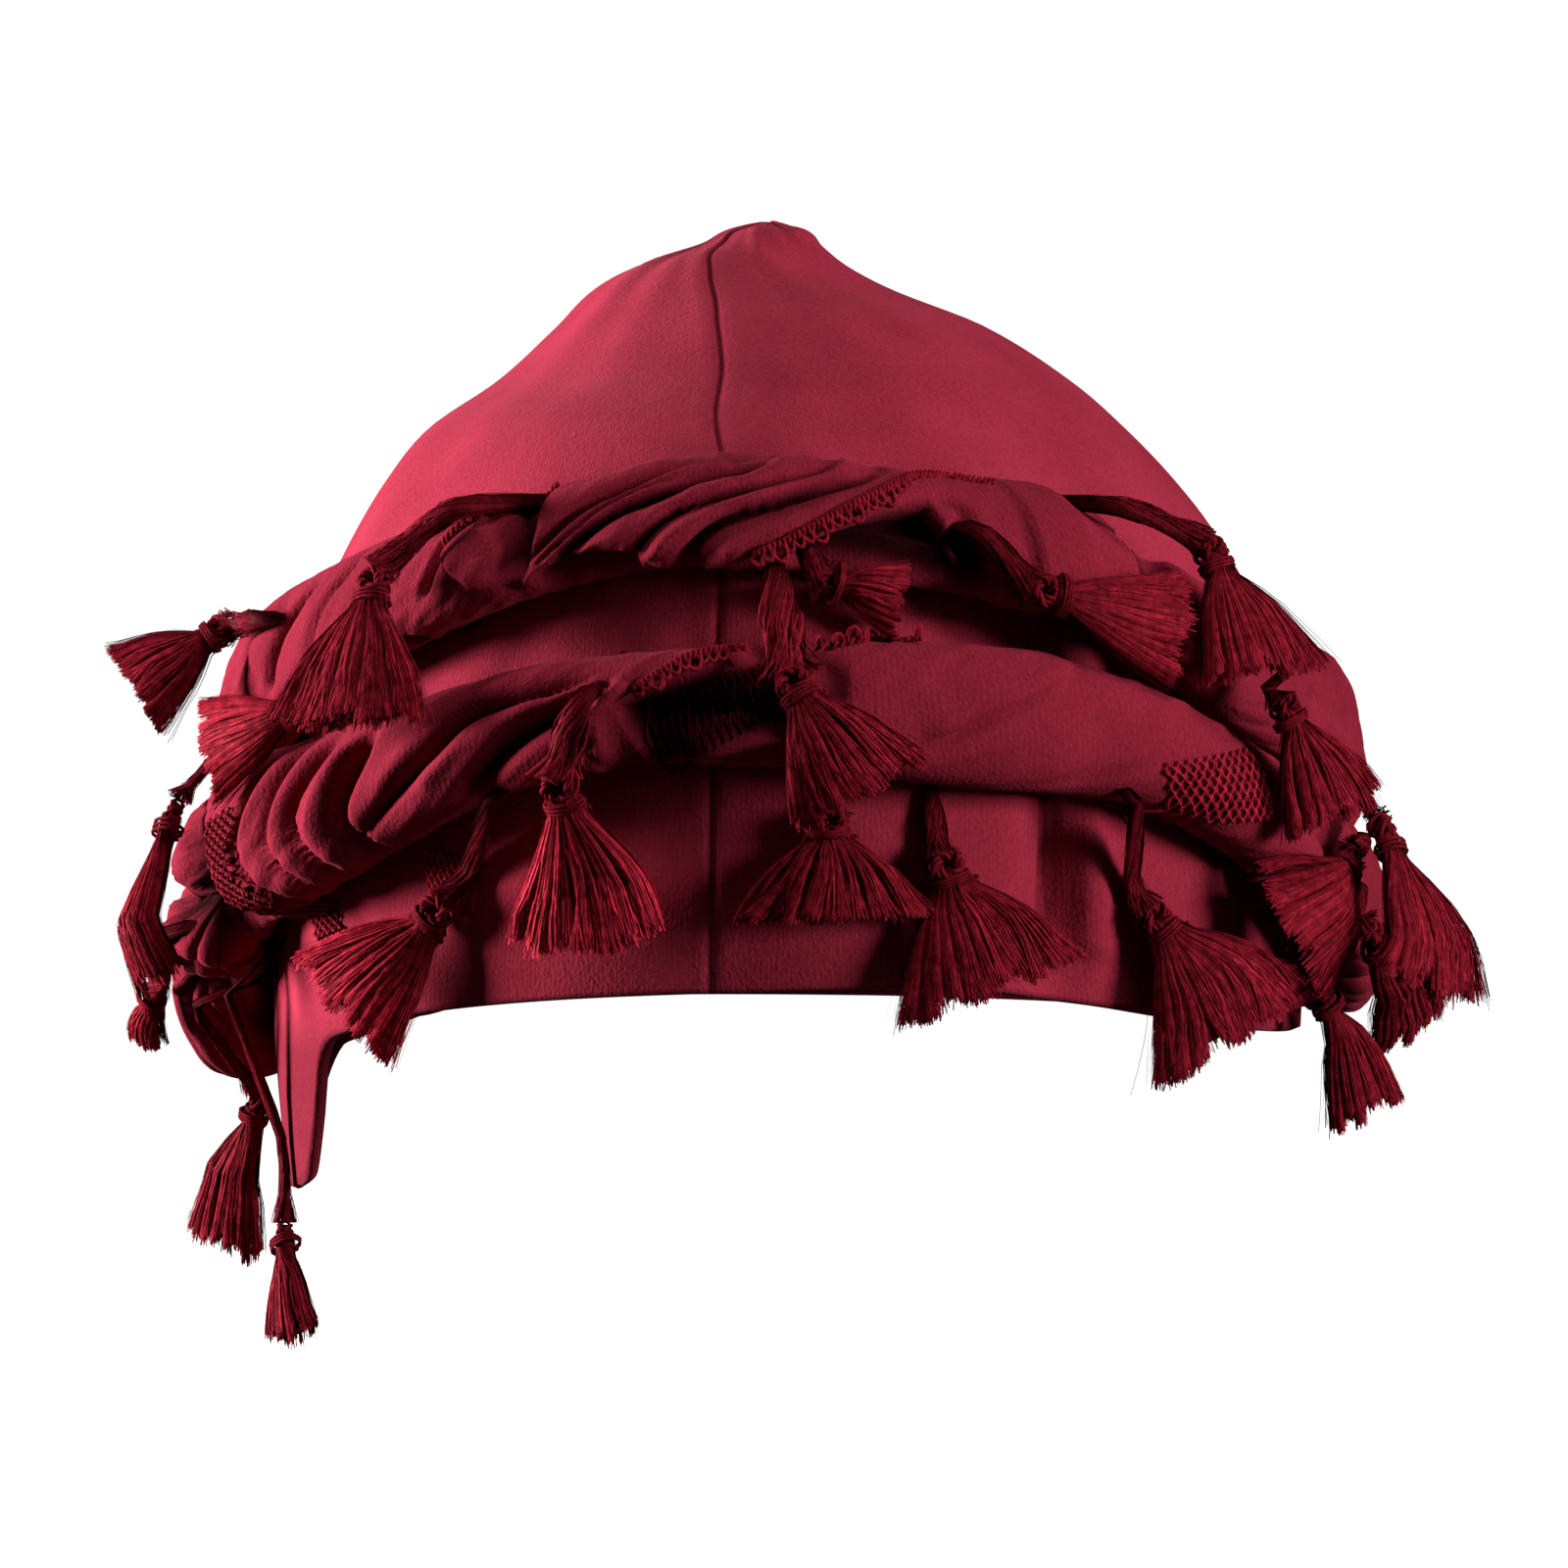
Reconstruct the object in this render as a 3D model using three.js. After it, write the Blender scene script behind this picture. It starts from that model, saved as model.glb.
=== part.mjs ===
// A pre-tied turban: a soft jersey cap wound with two turns of a twisted scarf,
// whose knotted edge and tassels hang over the rolls.
// Millimetres, +Z up, front towards -Y. The origin is the middle of the head
// opening at the height of the front hem. Angles are degrees round the head from
// the middle of the front, positive towards +X.

import * as THREE from 'three';

// Driving sizes
const CAP_WALL = 2;
const SEAM_DEPTH = 0.9;
const SEAM_HALF_ANGLE = 1.6;
const CAP_COLUMNS = 38;
const CAP_HEM_ROWS = 3;
const PIECE_GAP = 0.45;
const WRAP_STATIONS = 54;
const WRAP_FOLDS = 6;
const POINTS_PER_FOLD = 4;
const FRONT_DENSITY = 0.42;
const WRAP_LEAN = 0.85;
const WRAP_SQUARENESS = 0.82;

// Shape of the cap by height: half sizes, sideways lean, set-back and the angle of the seam
const CAP_ROWS = [
  { z: -48, half_width: 80, half_length: 95, lean: 0, set_back: 0, seam_angle: 0 },
  { z: -15, half_width: 83.5, half_length: 97.5, lean: 0, set_back: 0, seam_angle: 0 },
  { z: 20, half_width: 84, half_length: 98, lean: 0, set_back: 0, seam_angle: 0 },
  { z: 45, half_width: 80.5, half_length: 95, lean: 0, set_back: 1, seam_angle: 0 },
  { z: 60, half_width: 77, half_length: 90, lean: 0, set_back: 2, seam_angle: 0 },
  { z: 73, half_width: 70.7, half_length: 83, lean: -0.9, set_back: 3, seam_angle: 0 },
  { z: 82, half_width: 64.7, half_length: 75.5, lean: -1.8, set_back: 4, seam_angle: 0 },
  { z: 90, half_width: 57.6, half_length: 66, lean: -2.3, set_back: 5, seam_angle: -2 },
  { z: 98, half_width: 47.2, half_length: 54, lean: -1.2, set_back: 6, seam_angle: -4.6 },
  { z: 107, half_width: 35.3, half_length: 40, lean: -3.8, set_back: 6, seam_angle: -6.2 },
  { z: 113, half_width: 25, half_length: 29, lean: -8.5, set_back: 6, seam_angle: -3.5 },
  { z: 117, half_width: 17.8, half_length: 22, lean: -8.8, set_back: 6, seam_angle: -8 },
  { z: 120.5, half_width: 10.2, half_length: 15, lean: -5.2, set_back: 6, seam_angle: -30 },
  { z: 123.2, half_width: 6.6, half_length: 9, lean: -4, set_back: 6, seam_angle: -45 },
  { z: 124.6, half_width: 0.5, half_length: 1, lean: -4, set_back: 6, seam_angle: -45 },
];
const CAP_RING_HEIGHTS = [20, 36, 50, 63, 74, 83, 91, 99, 107, 113, 117.5, 121, 123];
const CAP_PEAK = new THREE.Vector3(-4, 6, 124.6);

// Lower edge of the cap: almost level, with a flap drawn down over one ear
const HEM_ROWS = [
  { angle: -180, z: -5 },
  { angle: -130, z: -6 },
  { angle: -106, z: -12 },
  { angle: -93, z: -27 },
  { angle: -80, z: -33 },
  { angle: -63, z: -31.5 },
  { angle: -58, z: -23 },
  { angle: -54, z: -11 },
  { angle: -47, z: -7 },
  { angle: -28, z: -2.5 },
  { angle: 0, z: 0 },
  { angle: 30, z: 0 },
  { angle: 60, z: -6 },
  { angle: 90, z: -8 },
  { angle: 180, z: -5 },
];

// Soft dents (negative depth) and bulges of the cap below the rolls
const CAP_DENTS = [
  { angle: 38, z: 14, depth: -4, angle_spread: 4.5, z_spread: 22 },
  { angle: 57, z: 12, depth: 3, angle_spread: 8, z_spread: 18 },
  { angle: -45, z: 8, depth: 2.5, angle_spread: 12, z_spread: 16 },
];

// Each roll by angle: height of its middle, half sizes, turns of the twist so far and fold depth
const UPPER_ROWS = [
  { angle: -180, z: 42, half_height: 16, half_depth: 6.5, twist: -900, fold: 1.0 },
  { angle: -135, z: 41, half_height: 16.5, half_depth: 6.5, twist: -675, fold: 1.0 },
  { angle: -90, z: 40.5, half_height: 17, half_depth: 6.4, twist: -450, fold: 0.9 },
  { angle: -60, z: 50.8, half_height: 13, half_depth: 6.6, twist: -320, fold: 1.1 },
  { angle: -35, z: 63.2, half_height: 10.3, half_depth: 6.8, twist: -215, fold: 1.5 },
  { angle: -18, z: 70, half_height: 8.8, half_depth: 7, twist: -90, fold: 1.4 },
  { angle: 0, z: 74.3, half_height: 9.3, half_depth: 7, twist: 0, fold: 1.3 },
  { angle: 30, z: 69.5, half_height: 9.6, half_depth: 7, twist: 112, fold: 0.7 },
  { angle: 42, z: 66.3, half_height: 10.8, half_depth: 7, twist: 160, fold: 0.5 },
  { angle: 60, z: 51.3, half_height: 11, half_depth: 6.5, twist: 250, fold: 0.8 },
  { angle: 90, z: 39.3, half_height: 14.8, half_depth: 6.4, twist: 420, fold: 0.9 },
  { angle: 135, z: 41, half_height: 16.5, half_depth: 6.5, twist: 660, fold: 1.0 },
  { angle: 180, z: 42, half_height: 16, half_depth: 6.5, twist: 900, fold: 1.0 },
];
const LOWER_ROWS = [
  { angle: -180, z: 10.5, half_height: 14.5, half_depth: 7, twist: -900, fold: 1.0 },
  { angle: -135, z: 8, half_height: 15, half_depth: 7.4, twist: -690, fold: 1.0 },
  { angle: -90, z: 2, half_height: 19, half_depth: 8.7, twist: -520, fold: 0.9 },
  { angle: -62, z: 20.5, half_height: 14, half_depth: 8.6, twist: -390, fold: 1.6 },
  { angle: -46, z: 26, half_height: 13, half_depth: 8, twist: -215, fold: 1.6 },
  { angle: -20, z: 39.8, half_height: 9.4, half_depth: 7, twist: -100, fold: 1.3 },
  { angle: 0, z: 43.6, half_height: 9, half_depth: 6.8, twist: 20, fold: 1.0 },
  { angle: 26, z: 42, half_height: 11, half_depth: 7, twist: 110, fold: 0.5 },
  { angle: 45, z: 38, half_height: 9.8, half_depth: 7, twist: 150, fold: 0.5 },
  { angle: 60, z: 28.2, half_height: 10.2, half_depth: 7, twist: 230, fold: 0.8 },
  { angle: 90, z: 9.5, half_height: 14, half_depth: 7.2, twist: 400, fold: 1.0 },
  { angle: 135, z: 9.7, half_height: 14.3, half_depth: 7, twist: 670, fold: 1.0 },
  { angle: 180, z: 10.5, half_height: 14.5, half_depth: 7, twist: 900, fold: 1.0 },
];
const UPPER_PHASE = -75;
const LOWER_PHASE = 50;

// Hollows where the scarf's edge comes out of the twist: angle, place round the roll's
// section (0 outward, 90 on top), depth and spread
const UPPER_HOLLOWS = [
  { angle: -20.5, section: 20, depth: 4, angle_spread: 4, section_spread: 60 },
  { angle: 9, section: -38, depth: 3.5, angle_spread: 7, section_spread: 30 },
  { angle: 19, section: -25, depth: 5, angle_spread: 7, section_spread: 36 },
  { angle: 49.5, section: 15, depth: 4.5, angle_spread: 4, section_spread: 60 },
];
const LOWER_HOLLOWS = [
  { angle: -60, section: -30, depth: 4, angle_spread: 8, section_spread: 50 },
  { angle: -34, section: 0, depth: 4, angle_spread: 4, section_spread: 60 },
  { angle: 0, section: 0, depth: 6, angle_spread: 8, section_spread: 34 },
  { angle: 54, section: -25, depth: 3, angle_spread: 5, section_spread: 40 },
];

// Knotted edges along the hollows: a cord with a knot at each step
const EDGE_CORD_RADIUS = 0.7;
const EDGE_KNOT_RADIUS = 1.2;
const EDGE_SIDES = 5;
const EDGE_LOOK = 0.5;
const EDGE_ROWS = [
  { name: 'knotted_edge_upper', line: [[4.5, 66.5], [10, 70], [17, 75], [26, 78], [36, 76]], knots: 14 },
  { name: 'knotted_edge_upper_left', line: [[-32, 69], [-27, 73.5], [-22, 76]], knots: 6 },
  { name: 'knotted_edge_lower', line: [[-7, 46], [-4, 49], [-1, 51], [4, 51.5]], knots: 8 },
  { name: 'knotted_edge_lower_right', line: [[11, 51.5], [17, 52.5], [23, 52.5]], knots: 6 },
];

// A tassel from its root on the roll: half sizes of cord, knot and skirt along its length.
// Up to step 1 it runs from root to knot, and up to step 2 from knot to tip.
const TASSEL_ROWS = [
  { step: 0, half_width: 2.2, half_thick: 0.8, lock: 0 },
  { step: 0.5, half_width: 2, half_thick: 0.9, lock: 0 },
  { step: 0.86, half_width: 2.3, half_thick: 1.1, lock: 0 },
  { step: 0.98, half_width: 3.4, half_thick: 2.4, lock: 0 },
  { step: 1.14, half_width: 3.5, half_thick: 2.5, lock: 0 },
  { step: 1.26, half_width: 3.5, half_thick: 1.9, lock: 0.1 },
  { step: 1.6, half_width: 7.3, half_thick: 2.3, lock: 0.2 },
  { step: 2, half_width: 10.4, half_thick: 2.2, lock: 0.3 },
];
const TASSEL_SIDES = 10;
const TASSEL_TIP_JAG = 1.6;
const TASSEL_SLOPE = 0.55;
const TASSEL_SAMPLES = 30;
const TASSEL_LOOK = 0.05;
const TASSEL_RAYS = 7;
const SKIRT_START = 1.2;
const SKIRT_TURNED = 1.5;

// Tassels: angle and height of root, knot and tip, width of the skirt against the
// table above, and where they differ from PLAIN_TASSEL how far knot and tip stand out
// beyond what they lie on and the turn of the flat skirt about its length
const PLAIN_TASSEL = { out: [0, 0], turn: 0 };
const TASSELS = [
  { name: 'left_pale', root: [-36, 54], knot: [-44, 44.3], tip: [-55.2, 37.1], width: 0.85 },
  {
    name: 'left_large', root: [-23.5, 76], knot: [-36.1, 64.5], tip: [-33.8, 40.5],
    width: 1.3, turn: -20,
  },
  { name: 'left_end', root: [-66, 9], knot: [-77.8, -1.6], tip: [-81, -10.3], width: 0.4, turn: -45 },
  { name: 'left_strand', root: [-67, 43], knot: [-68, 29.3], tip: [-63.9, 0.4], width: 0.42, turn: -45 },
  {
    name: 'left_out', root: [-56, 58], knot: [-64, 56.9], tip: [-66, 46.6],
    width: 0.95, out: [0, 10], turn: -30,
  },
  { name: 'left_low', root: [-21.5, 31], knot: [-30.5, 13.2], tip: [-40.1, -4.2], width: 1.15, turn: -20 },
  {
    name: 'left_middle', root: [-11, 46], knot: [-13.7, 32.9], tip: [-12, 6.8],
    width: 1.2, out: [1, 0], turn: -8,
  },
  { name: 'centre_small', root: [10, 68], knot: [12.9, 63], tip: [21.8, 60], width: 0.56 },
  { name: 'centre_low', root: [12.5, 32], knot: [12.6, 26.9], tip: [13, 11], width: 1.38 },
  { name: 'centre', root: [7, 65], knot: [8.3, 48.1], tip: [14.8, 29.5], width: 1.15 },
  {
    name: 'right_middle', root: [27.5, 74], knot: [33.8, 61.8], tip: [49.7, 55.3],
    width: 0.85, out: [0, 0.8],
  },
  { name: 'right_high', root: [41, 76], knot: [54.5, 69.1], tip: [55.2, 48.5], width: 0.98, turn: 32 },
  { name: 'right', root: [58, 49], knot: [58.2, 44.7], tip: [61.3, 26.3], width: 0.92, turn: 32 },
  {
    name: 'low_middle', root: [24, 31], knot: [24.4, 20.4], tip: [29, -0.1],
    width: 1.48, out: [0.8, 0.8], turn: 10,
  },
  { name: 'low_right', root: [42.5, 31], knot: [48.4, 11.9], tip: [55, -8.4], width: 1.5, turn: 22 },
  { name: 'right_dark', root: [80, 23], knot: [70.1, 20], tip: [59.4, 7.9], width: 1.1, turn: 20 },
  {
    name: 'right_low', root: [67, 4], knot: [76.9, -0.5], tip: [82.5, -21.3],
    width: 0.68, out: [4, 8], turn: 50,
  },
  { name: 'right_lower_out', root: [75, 16], knot: [74.2, 9], tip: [87, -8.1], width: 0.75, turn: 50 },
  {
    name: 'right_out', root: [80, 31], knot: [70, 25.8], tip: [66.5, -0.6],
    width: 1.05, out: [0, 5], turn: 32,
  },
  {
    name: 'left_lower', root: [-72.5, -2.5], knot: [-78, -18.2], tip: [-82, -44],
    width: 0.75, out: [0, 4], turn: -58,
  },
  {
    name: 'left_lowest', root: [-67.5, 1.5], knot: [-69.7, -39.6], tip: [-64.3, -57.2],
    width: 0.45, turn: -50,
  },
];

// Ellipse round the outside of the rolls, from which the tassels are placed
const REACH_HALF_WIDTH = 97;
const REACH_HALF_LENGTH = 113;
const RAY_START = 90;
const RAY_REACH = 125;
const FREE_STAND = -999;

const UP = new THREE.Vector3(0, 0, 1);

// A smooth curve through one column of a table
function makeTrack(rows, key, column, closed = false) {
  const last = rows.length - 1;
  const rise = (from, to) => rows[to][column] - rows[from][column];
  const run = (from, to) => rows[to][key] - rows[from][key];
  const endSlope = (rise(0, 1) + rise(last - 1, last)) / (run(0, 1) + run(last - 1, last));
  const slopes = rows.map((row, i) => {
    const from = Math.max(i - 1, 0);
    const to = Math.min(i + 1, last);
    const atEnd = i === 0 || i === last;
    return closed && atEnd ? endSlope : rise(from, to) / run(from, to);
  });
  return (value) => {
    let i = 0;
    while (i < last - 1 && value > rows[i + 1][key]) i += 1;
    const span = run(i, i + 1);
    const t = THREE.MathUtils.clamp((value - rows[i][key]) / span, 0, 1);
    const blend = t * t * (3 - 2 * t);
    const leave = t * (1 - t) * (1 - t) * span * slopes[i];
    const arrive = t * t * (1 - t) * span * slopes[i + 1];
    return rows[i][column] + rise(i, i + 1) * blend + leave - arrive;
  };
}

function bell(distance, spread) {
  return Math.exp(-((distance / spread) ** 2));
}

// Builds one closed mesh from rings of points joined by bands of triangles
class RingMesh {
  constructor() {
    this.positions = [];
    this.index = [];
  }

  addPoint(point) {
    this.positions.push(point.x, point.y, point.z);
    return this.positions.length / 3 - 1;
  }

  addRing(points) {
    return points.map((point) => this.addPoint(point));
  }

  addBand(ringA, ringB) {
    ringA.forEach((a, i) => {
      const next = (i + 1) % ringA.length;
      this.index.push(a, ringA[next], ringB[next]);
      this.index.push(a, ringB[next], ringB[i]);
    });
  }

  addFan(ring, apex) {
    ring.forEach((a, i) => this.index.push(a, ring[(i + 1) % ring.length], apex));
  }

  geometry() {
    const geometry = new THREE.BufferGeometry();
    geometry.setAttribute('position', new THREE.Float32BufferAttribute(this.positions, 3));
    geometry.setIndex(this.index);
    return geometry;
  }
}

function middleOf(points) {
  const sum = points.reduce((total, point) => total.add(point), new THREE.Vector3());
  return sum.divideScalar(points.length);
}

// A solid through rings of points, open ended rows closed by a fan at each end
function loftOpen(rings) {
  const mesh = new RingMesh();
  const added = rings.map((ring) => mesh.addRing(ring));
  for (let i = 0; i + 1 < added.length; i += 1) mesh.addBand(added[i], added[i + 1]);
  mesh.addFan([...added[0]].reverse(), mesh.addPoint(middleOf(rings[0])));
  mesh.addFan(added[added.length - 1], mesh.addPoint(middleOf(rings[rings.length - 1])));
  return mesh.geometry();
}

function loftClosed(rings) {
  const mesh = new RingMesh();
  const added = rings.map((ring) => mesh.addRing(ring));
  added.forEach((ring, i) => mesh.addBand(ring, added[(i + 1) % added.length]));
  return mesh.geometry();
}

// The cap
const capHalfWidth = makeTrack(CAP_ROWS, 'z', 'half_width');
const capHalfLength = makeTrack(CAP_ROWS, 'z', 'half_length');
const capLean = makeTrack(CAP_ROWS, 'z', 'lean');
const capSetBack = makeTrack(CAP_ROWS, 'z', 'set_back');
const capSeamAngle = makeTrack(CAP_ROWS, 'z', 'seam_angle');
const hemHeight = makeTrack(HEM_ROWS, 'angle', 'z', true);

function capDent(angle, z) {
  return CAP_DENTS.reduce((sum, dent) => {
    const across = bell(angle - dent.angle, dent.angle_spread);
    return sum + dent.depth * across * bell(z - dent.z, dent.z_spread);
  }, 0);
}

// Point on the cap's outer face; the seam's lean turns the angles near the front
function capPoint(angle, z) {
  const plain = THREE.MathUtils.degToRad(angle);
  const lean = THREE.MathUtils.degToRad(capSeamAngle(z));
  const turn = plain + lean * (0.5 + 0.5 * Math.cos(plain));
  const dent = capDent(angle, z);
  const x = capLean(z) + (capHalfWidth(z) + dent) * Math.sin(turn);
  const y = capSetBack(z) - (capHalfLength(z) + dent) * Math.cos(turn);
  return new THREE.Vector3(x, y, z);
}

function capNormal(angle, z) {
  const step = 0.2;
  const across = capPoint(angle + step, z).sub(capPoint(angle - step, z));
  const upward = capPoint(angle, z + step).sub(capPoint(angle, z - step));
  return across.cross(upward).normalize();
}

function capColumns() {
  const angles = [];
  for (let i = 0; i < CAP_COLUMNS; i += 1) angles.push(-180 + (360 * i) / CAP_COLUMNS);
  angles.push(-SEAM_HALF_ANGLE, SEAM_HALF_ANGLE, 180 - SEAM_HALF_ANGLE, -180 + SEAM_HALF_ANGLE);
  return angles.sort((a, b) => a - b);
}

function capHeights(angle) {
  const hem = hemHeight(angle);
  const skirt = [];
  for (let i = 0; i < CAP_HEM_ROWS; i += 1) {
    skirt.push(hem + ((CAP_RING_HEIGHTS[0] - hem) * i) / CAP_HEM_ROWS);
  }
  return [...skirt, ...CAP_RING_HEIGHTS];
}

function capGeometry() {
  const columns = capColumns();
  const rowCount = CAP_HEM_ROWS + CAP_RING_HEIGHTS.length;
  const mesh = new RingMesh();
  const outer = [];
  const inner = [];
  for (let row = 0; row < rowCount; row += 1) {
    const outerRing = [];
    const innerRing = [];
    columns.forEach((angle) => {
      const z = capHeights(angle)[row];
      const point = capPoint(angle, z);
      const normal = capNormal(angle, z);
      const onSeam = angle === 0 || angle === -180;
      innerRing.push(point.clone().addScaledVector(normal, -CAP_WALL));
      outerRing.push(point.addScaledVector(normal, onSeam ? -SEAM_DEPTH : 0));
    });
    outer.push(mesh.addRing(outerRing));
    inner.push(mesh.addRing(innerRing));
  }
  for (let row = 0; row + 1 < rowCount; row += 1) {
    mesh.addBand(outer[row], outer[row + 1]);
    mesh.addBand(inner[row + 1], inner[row]);
  }
  mesh.addBand(inner[0], outer[0]);
  mesh.addFan(outer[rowCount - 1], mesh.addPoint(CAP_PEAK));
  const innerPeak = CAP_PEAK.clone().addScaledVector(UP, -CAP_WALL);
  mesh.addFan([...inner[rowCount - 1]].reverse(), mesh.addPoint(innerPeak));
  return mesh.geometry();
}

// The rolls of the scarf
function makeRoll(rows, phase, hollows) {
  const read = (column) => makeTrack(rows, 'angle', column, true);
  return {
    height: read('z'),
    halfHeight: read('half_height'),
    halfDepth: read('half_depth'),
    twist: read('twist'),
    fold: read('fold'),
    phase,
    hollows,
  };
}

const ROLLS = {
  upper: makeRoll(UPPER_ROWS, UPPER_PHASE, UPPER_HOLLOWS),
  lower: makeRoll(LOWER_ROWS, LOWER_PHASE, LOWER_HOLLOWS),
};

// Level direction out of the head at an angle
function outward(angle) {
  const turn = THREE.MathUtils.degToRad(angle);
  const x = Math.sin(turn) / REACH_HALF_WIDTH;
  const y = -Math.cos(turn) / REACH_HALF_LENGTH;
  return new THREE.Vector3(x, y, 0).normalize();
}

function signedPower(value, power) {
  return Math.sign(value) * Math.abs(value) ** power;
}

// How far the twisted folds and the hollows cut into a roll; around is degrees from
// its first fold, and section degrees from straight outward
function foldDepth(roll, angle, around, section) {
  const pleat = 0.5 + 0.5 * Math.cos(WRAP_FOLDS * THREE.MathUtils.degToRad(around));
  return roll.hollows.reduce((sum, hollow) => {
    const turned = THREE.MathUtils.euclideanModulo(section - hollow.section + 180, 360) - 180;
    const along = bell(angle - hollow.angle, hollow.angle_spread);
    return sum + hollow.depth * along * bell(turned, hollow.section_spread);
  }, roll.fold(angle) * pleat);
}

// Point on a roll's surface
function rollPoint(roll, angle, around) {
  const section = around + roll.twist(angle) + roll.phase;
  const turn = THREE.MathUtils.degToRad(section);
  const inset = foldDepth(roll, angle, around, section);
  const halfDepth = roll.halfDepth(angle);
  const up = (roll.halfHeight(angle) - inset) * signedPower(Math.sin(turn), WRAP_SQUARENESS);
  const out = (halfDepth - inset) * signedPower(Math.cos(turn), WRAP_SQUARENESS);
  const normal = outward(angle);
  const z = roll.height(angle) + up;
  const seat = capPoint(angle, roll.height(angle));
  const slope = capPoint(angle, z).sub(seat).dot(normal);
  const stand = Math.max(halfDepth + out + WRAP_LEAN * slope, slope + PIECE_GAP);
  return seat.addScaledVector(normal, stand).setZ(z);
}

// Stations round the head, closer together at the front
function rollAngles() {
  const angles = [];
  for (let i = 0; i < WRAP_STATIONS; i += 1) {
    const even = Math.PI * ((2 * i) / WRAP_STATIONS - 1);
    angles.push(THREE.MathUtils.radToDeg(even - FRONT_DENSITY * Math.sin(even)));
  }
  return angles;
}

function rollGeometry(roll) {
  const sides = WRAP_FOLDS * POINTS_PER_FOLD;
  const rings = rollAngles().map((angle) => {
    const ring = [];
    for (let j = 0; j < sides; j += 1) ring.push(rollPoint(roll, angle, (-360 * j) / sides));
    return ring;
  });
  return loftClosed(rings);
}

// Point at a distance outside the ellipse round the rolls
function reachPoint(angle, z, stand) {
  const turn = THREE.MathUtils.degToRad(angle);
  const x = REACH_HALF_WIDTH * Math.sin(turn);
  const y = -REACH_HALF_LENGTH * Math.cos(turn);
  return new THREE.Vector3(x, y, z).addScaledVector(outward(angle), stand);
}

// How far out the outermost surface stands at an angle and height
function surfaceStand(meshes, angle, z) {
  const normal = outward(angle);
  const start = reachPoint(angle, z, RAY_START);
  const ray = new THREE.Raycaster(start, normal.negate(), 0, RAY_REACH);
  const hits = ray.intersectObjects(meshes, false);
  return hits.length > 0 ? RAY_START - hits[0].distance : FREE_STAND;
}

// Arc on the ellipse round the rolls, in degrees of angle
function arcAngle(length) {
  return THREE.MathUtils.radToDeg(length / REACH_HALF_WIDTH);
}

// A knotted edge: a thin cord laid on a roll along a line, thick at every knot
function edgeGeometry(row, meshes) {
  const line = row.line.map(([angle, z]) => ({ angle, z }));
  const [first, last] = [line[0].angle, line[line.length - 1].angle];
  const height = makeTrack(line, 'angle', 'z');
  const look = [-EDGE_KNOT_RADIUS, 0, EDGE_KNOT_RADIUS];
  const place = (angle) => {
    const z = height(angle);
    const stands = look.flatMap((aside) => {
      return look.map((above) => surfaceStand(meshes, angle + arcAngle(aside), z + above));
    });
    return reachPoint(angle, z, Math.max(...stands) + EDGE_KNOT_RADIUS + PIECE_GAP);
  };
  const steps = row.knots * 2;
  const rings = [];
  for (let i = 0; i <= steps; i += 1) {
    const angle = THREE.MathUtils.lerp(first, last, i / steps);
    const radius = i % 2 === 1 ? EDGE_KNOT_RADIUS : EDGE_CORD_RADIUS;
    const centre = place(angle);
    const along = place(angle + EDGE_LOOK).sub(centre).normalize();
    const side = outward(angle).cross(along).normalize();
    const over = along.clone().cross(side);
    const ring = [];
    for (let j = 0; j < EDGE_SIDES; j += 1) {
      const turn = (2 * Math.PI * j) / EDGE_SIDES;
      const point = centre.clone().addScaledVector(side, radius * Math.cos(turn));
      ring.push(point.addScaledVector(over, radius * Math.sin(turn)));
    }
    rings.push(ring);
  }
  return loftOpen(rings);
}

function tasselPath(row) {
  const points = [row.root, row.knot, row.tip].map(([angle, z]) => new THREE.Vector2(angle, z));
  const bend = (t, a, b) => new THREE.Vector2().lerpVectors(a, b, t);
  return (step) => {
    const [from, to] = step < 1 ? points.slice(0, 2) : points.slice(1);
    return bend(step < 1 ? step : step - 1, from, to);
  };
}

const tasselHalfWidth = makeTrack(TASSEL_ROWS, 'step', 'half_width');
const tasselHalfThick = makeTrack(TASSEL_ROWS, 'step', 'half_thick');

// Half width of one tassel: only the skirt is scaled
function skirtHalfWidth(row, step) {
  return tasselHalfWidth(step) * (step > SKIRT_START ? row.width : 1);
}

// Turn of the flat section, reached gradually below the knot
function skirtTurn(row, step) {
  return THREE.MathUtils.degToRad(row.turn) * THREE.MathUtils.smoothstep(step, 1, SKIRT_TURNED);
}

function tasselOut(row, step) {
  return step < 1 ? row.out[0] * step : THREE.MathUtils.lerp(...row.out, step - 1);
}

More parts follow.
